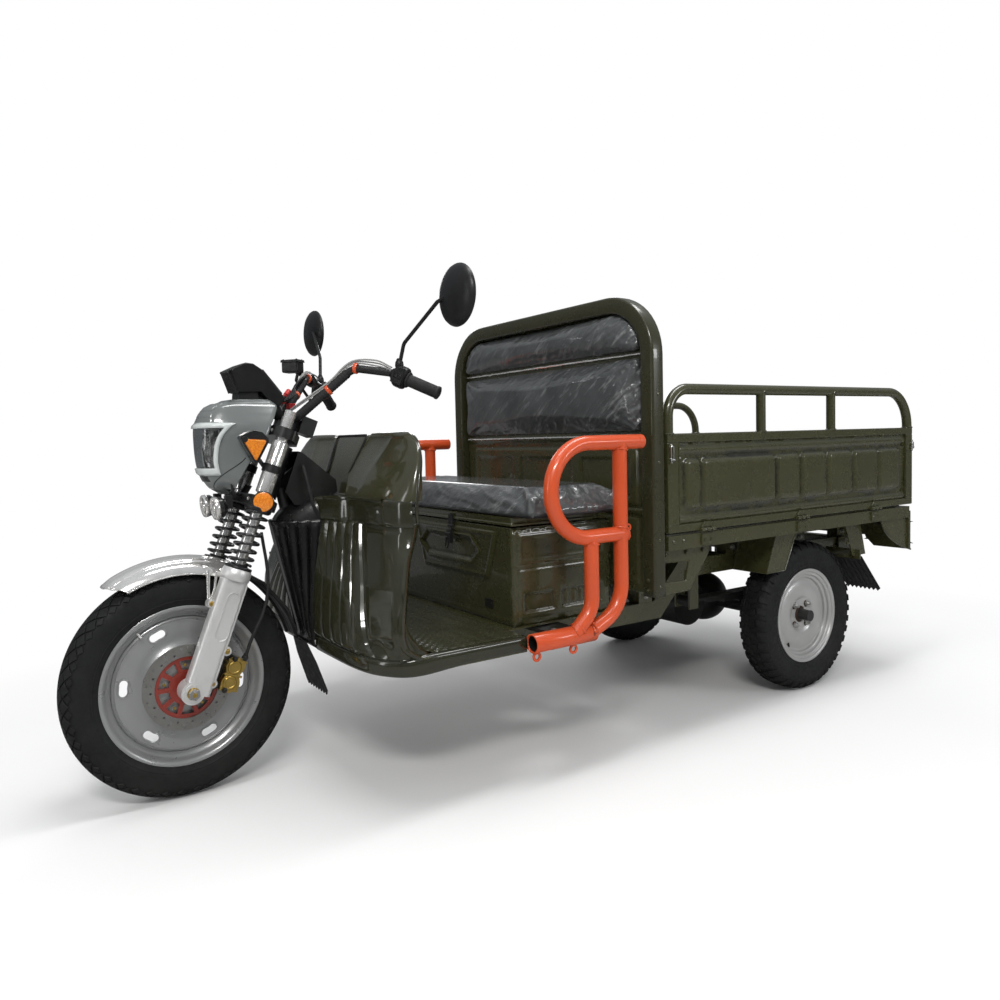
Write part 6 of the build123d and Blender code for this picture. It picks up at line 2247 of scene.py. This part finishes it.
def bed_details():
    ribs = Shape()
    for k in range(11):
        y = -450 + 90 * k
        section = [(-16, 0.2), (-11, 0.4), (-6, 3.4), (6, 3.4), (11, 0.4), (16, 0.2)]
        ribs.grid([[(x, y + a, 630 + (b if 0 < j < 13 else 0.2)) for a, b in section]
                   for j, x in enumerate([150 + 100 * t for t in range(13)] + [1450])])
    piece("bed_deck_ribs", ribs, OLIVE, solid=1.0)
    bolts, painted = Shape(), Shape()
    for side in (-1, 1):
        for x in (284, 770, 1221):
            for dx in (-15, 15):
                painted.bolt((x + dx, side * 534, 604), (0, side, 0), 5.5, 2.5, washer=False)
        for x in (138, 182):
            painted.rivet((x, side * BOARD_SIDE, 607), (0, side, 0), 7, 3.5)
        for x in (125, 215, 290):
            painted.bolt((x, side * 506, 568), (0, side, 0), 7, 5)
        for y in (345, 470):
            bolts.bolt((1474, side * y, 574 if y < 400 else 573), REARWARD, 6, 4)
        for x in (230, 670, 1070, 1350):
            low = 378 if x < 300 else 500
            bolts.bolt((x, side * 322, low + 22), (0, side, 0), 8, 6)
    piece("bed_bolts", bolts, ZINC, sharp=25)
    piece("bed_painted_bolts", painted, OLIVE, sharp=25)
    edge = Shape()
    for side in (-1, 1):
        y = side * 503
        outer = [(98, 448), (229, 450), (318, 558), (318, 580)]
        edge.tube(bent_line([(x, y, z) for x, z in outer], 10, 4), 4.2, 10)
        edge.tube([(98, y, 448), (98, y, 581)], 4.2, 10)
        window = [(112, 480), (216, 478), (232, 542), (112, 545), (112, 480)]
        edge.tube(bent_line([(x, y, z) for x, z in window], 8, 4), 3.4, 8)
    piece("bracket_rims", edge, OLIVE)
    plates = Shape()
    for side in (-1, 1):
        outline = curve_through([(1275, 0, 603), (1282, 0, 578), (1300, 0, 548), (1330, 0, 520),
                                 (1372, 0, 494), (1425, 0, 471),
                                 (1490, 0, 452)], 5)
        part = Shape().prism([(p.x, p.z) for p in reversed(outline)] + [(1490, 606)], (0, -516, 0), REARWARD,
                             UP, 4.0)
        rim = Shape().tube([p + Vector((0, -520, 2)) for p in outline], 3.4, 8)
        for x, z in ((1440, 580), (1440, 490)):
            rim.rivet((x, -520, z), (0, -1, 0), 5, 2.4)
        part.merge(rim)
        plates.merge(part.on_side(side))
    piece("bumper_side_plates", plates, OLIVE, sharp=40)


def mud_parts():
    """Sawtooth flaps behind the rear wheels, with rolled lips on the mudguards."""
    for side, label in SIDES:
        rows = []
        for i in range(41):
            row = []
            for j in range(81):
                s = -1 + 2 * j / 80
                tooth = 0.085 * ((j / 10.0) % 1.0) * smooth((i - 28) / 12)
                t = i / 40 * (0.915 + (tooth if j < 80 else 0.085))
                x, z = lerp(1207, 1348, t), lerp(449, 297, t)
                rib = (1.9 * smooth((math.cos(s * math.pi * 7) - 0.1) * 2) * smooth((0.93 - abs(s)) / 0.05)
                       * smooth((0.84 - t) / 0.03))
                row.append(Vector((x + 0.73 * rib, side * 418 + 68 * s, z + 0.68 * rib)))
            rows.append(row)
        piece("mud_flap_" + label, Shape().grid(rows), RUBBER, "chassis",
              ["rear_mud_flaps"] if side < 0 else (), solid=3.2, sharp=50, keep=0.6)
        clip = Shape()
        y0, y1 = sorted((side * 484, side * 352))
        clip.box((1203, y0, 452), (1206, y1, 476))
        for y in (375, 418, 461):
            clip.bolt((1204, side * y, 466), REARWARD, 6, 4)
        piece("mud_flap_clip_" + label, clip, ZINC, bevel=0.6)
        lip = Shape()
        for y in (side * 486, side * 352):
            lip.tube([(638, y, 450), (690, y, 579)], 3.0, 8)
        lip.tube([(638, side * 486, 450), (638, side * 352, 450)], 3.0, 8)
        lip.tube([(638, side * 486, 450), (737, side * 486, 450), (803, side * 486, 579)], 2.6, 8)
        lip.box((1140, min(side * 471, side * 466), 500), (1225, max(side * 471, side * 466), 508))
        piece("mudguard_lips_" + label, lip, OLIVE)


def lamps():
    """Tail lamps: dark housing, ribbed red lens with an amber end."""
    housing, red, amber = Shape(), Shape(), Shape()
    for side in (-1, 1):
        y0, y1 = side * 516, side * 356
        outline = []
        for cy, cz, start in ((y1 - side * 16, 550, 0), (y0 + side * 16, 550, 90), (y0 + side * 16, 494, 180),
                              (y1 - side * 16, 494, 270)):
            for k in range(7):
                a = math.radians(start + 15 * k)
                outline.append((cy + side * 14 * math.cos(a), cz + 14 * math.sin(a)))
        rows = []
        for x, grow in ((1474.4, 0), (1480, 1.5), (1484, 1.5), (1485, 0)):
            rows.append([Vector((x, y + math.copysign(grow, y - (y0 + y1) / 2),
                                 z + math.copysign(grow, z - 522)))
                         for y, z in outline])
        housing.grid(rows, wrap=True, caps=True)
        for target, start, end in ((red, 0.06, 0.66), (amber, 0.68, 0.94)):
            cells = []
            for j in range(25):
                z = lerp(486, 558, j / 24)
                row = []
                for i in range(41):
                    t = lerp(start, end, i / 40)
                    rim = min(smooth(i / 3), smooth((40 - i) / 3), smooth(j / 3), smooth((24 - j) / 3))
                    rib = 0.8 * abs(math.sin(i * math.pi / 4))
                    row.append(Vector((1483.5 + rim * (5.2 - rib), lerp(y0, y1, t), z)))
                cells.append(row)
            target.grid(cells)
    piece("tail_lamp_housings", housing, BLACK, "chassis", ["tail_lamps"], slot="red_lens")
    piece("tail_lamp_red", red, RED_LENS, solid=-1.5)
    piece("tail_lamp_amber", amber, AMBER, solid=-1.5)


def running_gear():
    """Clips and bolts under the bed: the U-bolts of the leaf springs with their plates and nuts."""
    iron, bolts = Shape(), Shape()
    for side in (-1, 1):
        for x in (852, 932):
            for y in (side * 268, side * 332):
                iron.tube([(x, y, 214), (x, y, 338)], 6, 10)
                bolts.bolt((x, y, 210), (0, 0, -1), 8, 7)
        iron.box((840, min(side * 262, side * 338), 212), (944, max(side * 262, side * 338), 220))
    piece("spring_u_bolts", iron, BLACK_PAINT, bevel=0.8)
    piece("spring_nuts", bolts, ZINC, sharp=25)


side_boards()
end_boards()
bed_details()
mud_parts()
lamps()
running_gear()


# ---------- plates and tubes kept as they are ----------
def dress(material, *names):
    for name in names:
        data = NODES[name].data
        data.materials.clear()
        data.materials.append(material)


dress(disc_finish(), "brake_disc")
dress(CAST, "fork_legs")
dress(CHROME, "fork_tubes")
dress(BLACK_PAINT, "handlebar", "fork_clamps", "rear_axle", "drive_motor", "leaf_springs", "head_frame",
      "neck_cover", "brake_pedal")
dress(STEEL, "front_axle")
dress(RUBBER, "brake_hose", "neck_cable")
dress(BLACK, "brake_master", "battery_pack", "cowl_liner")
dress(OLIVE, "chassis_frame", "bed_floor", "bed_supports", "rear_bumper", "rear_mudguards", "floor_pan")


# ---------- camera ----------
def make_camera():
    yaw, pitch, roll = math.radians(32.03), math.radians(2.94), math.radians(1.53)
    forward = Vector((math.sin(yaw) * math.cos(pitch), math.cos(yaw) * math.cos(pitch), -math.sin(pitch)))
    right = Vector((math.cos(yaw), -math.sin(yaw), 0))
    up = right.cross(forward)
    level = right * math.cos(roll) - up * math.sin(roll)
    above = right * math.sin(roll) + up * math.cos(roll)
    data = bpy.data.cameras.new("camera")
    data.lens = 28.08
    data.sensor_width = 36
    data.shift_x = 0.0534
    data.shift_y = -0.0212
    data.clip_end = 60
    camera = bpy.data.objects.new("camera", data)
    SCENE.collection.objects.link(camera)
    turn = Matrix((level, above, -forward)).transposed()
    camera.matrix_world = Matrix.Translation((-1.6713, -2.1429, 0.9364)) @ turn.to_4x4()
    SCENE.camera = camera


# ---------- floor, backdrop and light ----------
def make_floor():
    reach = (-14000, 0, 14000)
    floor = new_object("studio_floor", Shape().grid([[(x, y, -0.4) for x in reach] for y in reach]))
    f = Finish("studio_floor")
    path = f.node("ShaderNodeLightPath")
    pale = f.mix((0.86, 0.86, 0.86), (0.84, 0.84, 0.84), f.noise(1.2, 2.0))
    # the floor is dimmer in reflections, so that dark paint keeps its depth
    f.paint(f.mix(pale, (0.26, 0.26, 0.26), path.outputs["Is Glossy Ray"]))
    f.rough(f.ramp(f.noise(3.0, 2.0), 0.3, 0.7, 0.75, 0.85))
    f.set(specular_ior_level=0.1)
    # far from the tricycle the camera sees the floor as plain white, like the wall behind it
    flat = f.maths("MULTIPLY", f.place, (0.62, 1.0, 0), kind="VectorMath")
    far = f.ramp(f.maths("LENGTH", flat, kind="VectorMath"), 0.95, 1.9, 0.0, 1.0)
    seen = f.maths("MULTIPLY", far, path.outputs["Is Camera Ray"])
    white = f.node("ShaderNodeEmission", Color=(1, 1, 1, 1))
    surface = f.fed(f.node("ShaderNodeMixShader"), {0: seen, 1: f.shader.outputs[0], 2: white.outputs[0]})
    f.link(surface.outputs[0], f.tree.nodes["Material Output"].inputs["Surface"])
    floor.data.materials.append(f.material)


def make_world():
    """Plain white to the camera; light that grows upwards, and a dimmer sky for reflections."""
    world = bpy.data.worlds.new("studio")
    SCENE.world = world
    world.use_nodes = True
    nodes, links = world.node_tree.nodes, world.node_tree.links
    path = nodes.new("ShaderNodeLightPath")
    split = nodes.new("ShaderNodeSeparateXYZ")
    links.new(nodes.new("ShaderNodeTexCoord").outputs["Generated"], split.inputs[0])

    def glow(light, colour, low, bottom, top):
        rise = nodes.new("ShaderNodeMapRange")
        for name, value in (("From Min", low), ("From Max", 0.9), ("To Min", bottom), ("To Max", top)):
            rise.inputs[name].default_value = value
        links.new(split.outputs["Z"], rise.inputs["Value"])
        links.new(rise.outputs["Result"], light.inputs["Strength"])
        light.inputs["Color"].default_value = colour
        return light

    def choose(ray, below, above):
        mixed = nodes.new("ShaderNodeMixShader")
        for k, source in enumerate((path.outputs[ray], below.outputs[0], above.outputs[0])):
            links.new(source, mixed.inputs[k])
        return mixed

    sky = glow(nodes["Background"], (0.98, 0.99, 1.0, 1), -0.1, 0.20, 0.62)
    sheen = glow(nodes.new("ShaderNodeBackground"), (0.9, 0.95, 1.0, 1), 0.0, 0.10, 0.42)
    plain = nodes.new("ShaderNodeBackground")
    plain.inputs["Color"].default_value = (1, 1, 1, 1)
    plain.inputs["Strength"].default_value = 1.0
    shown = choose("Is Camera Ray", choose("Is Glossy Ray", sky, sheen), plain)
    links.new(shown.outputs[0], nodes["World Output"].inputs["Surface"])


def lamp(name, place, target, size, power, colour=(1, 1, 1)):
    data = bpy.data.lights.new(name, "AREA")
    data.shape = "RECTANGLE"
    data.size, data.size_y = size
    data.energy = power
    data.color = colour
    obj = bpy.data.objects.new(name, data)
    SCENE.collection.objects.link(obj)
    place, target = Vector(place), Vector(target)
    obj.location = place
    obj.rotation_euler = (target - place).to_track_quat("-Z", "Y").to_euler()


make_camera()
make_floor()
make_world()
lamp("key", (-2.6, -3.2, 3.6), (-0.1, 0, 0.6), (1.5, 0.5), 90, (1.0, 0.985, 0.96))
lamp("top", (0.3, -0.6, 4.2), (0.2, 0, 0.5), (4.0, 0.7), 95)
lamp("left_fill", (2.4, -4.2, 1.9), (0.4, -0.4, 0.6), (1.8, 0.5), 34, (0.97, 0.985, 1.0))
lamp("front_strip", (-4.2, -0.4, 1.5), (-1.0, 0, 0.7), (0.4, 2.2), 12)
lamp("back", (2.2, 3.8, 2.6), (0.3, 0, 0.8), (3.0, 1.0), 55)
SCENE.view_settings.view_transform = "Standard"
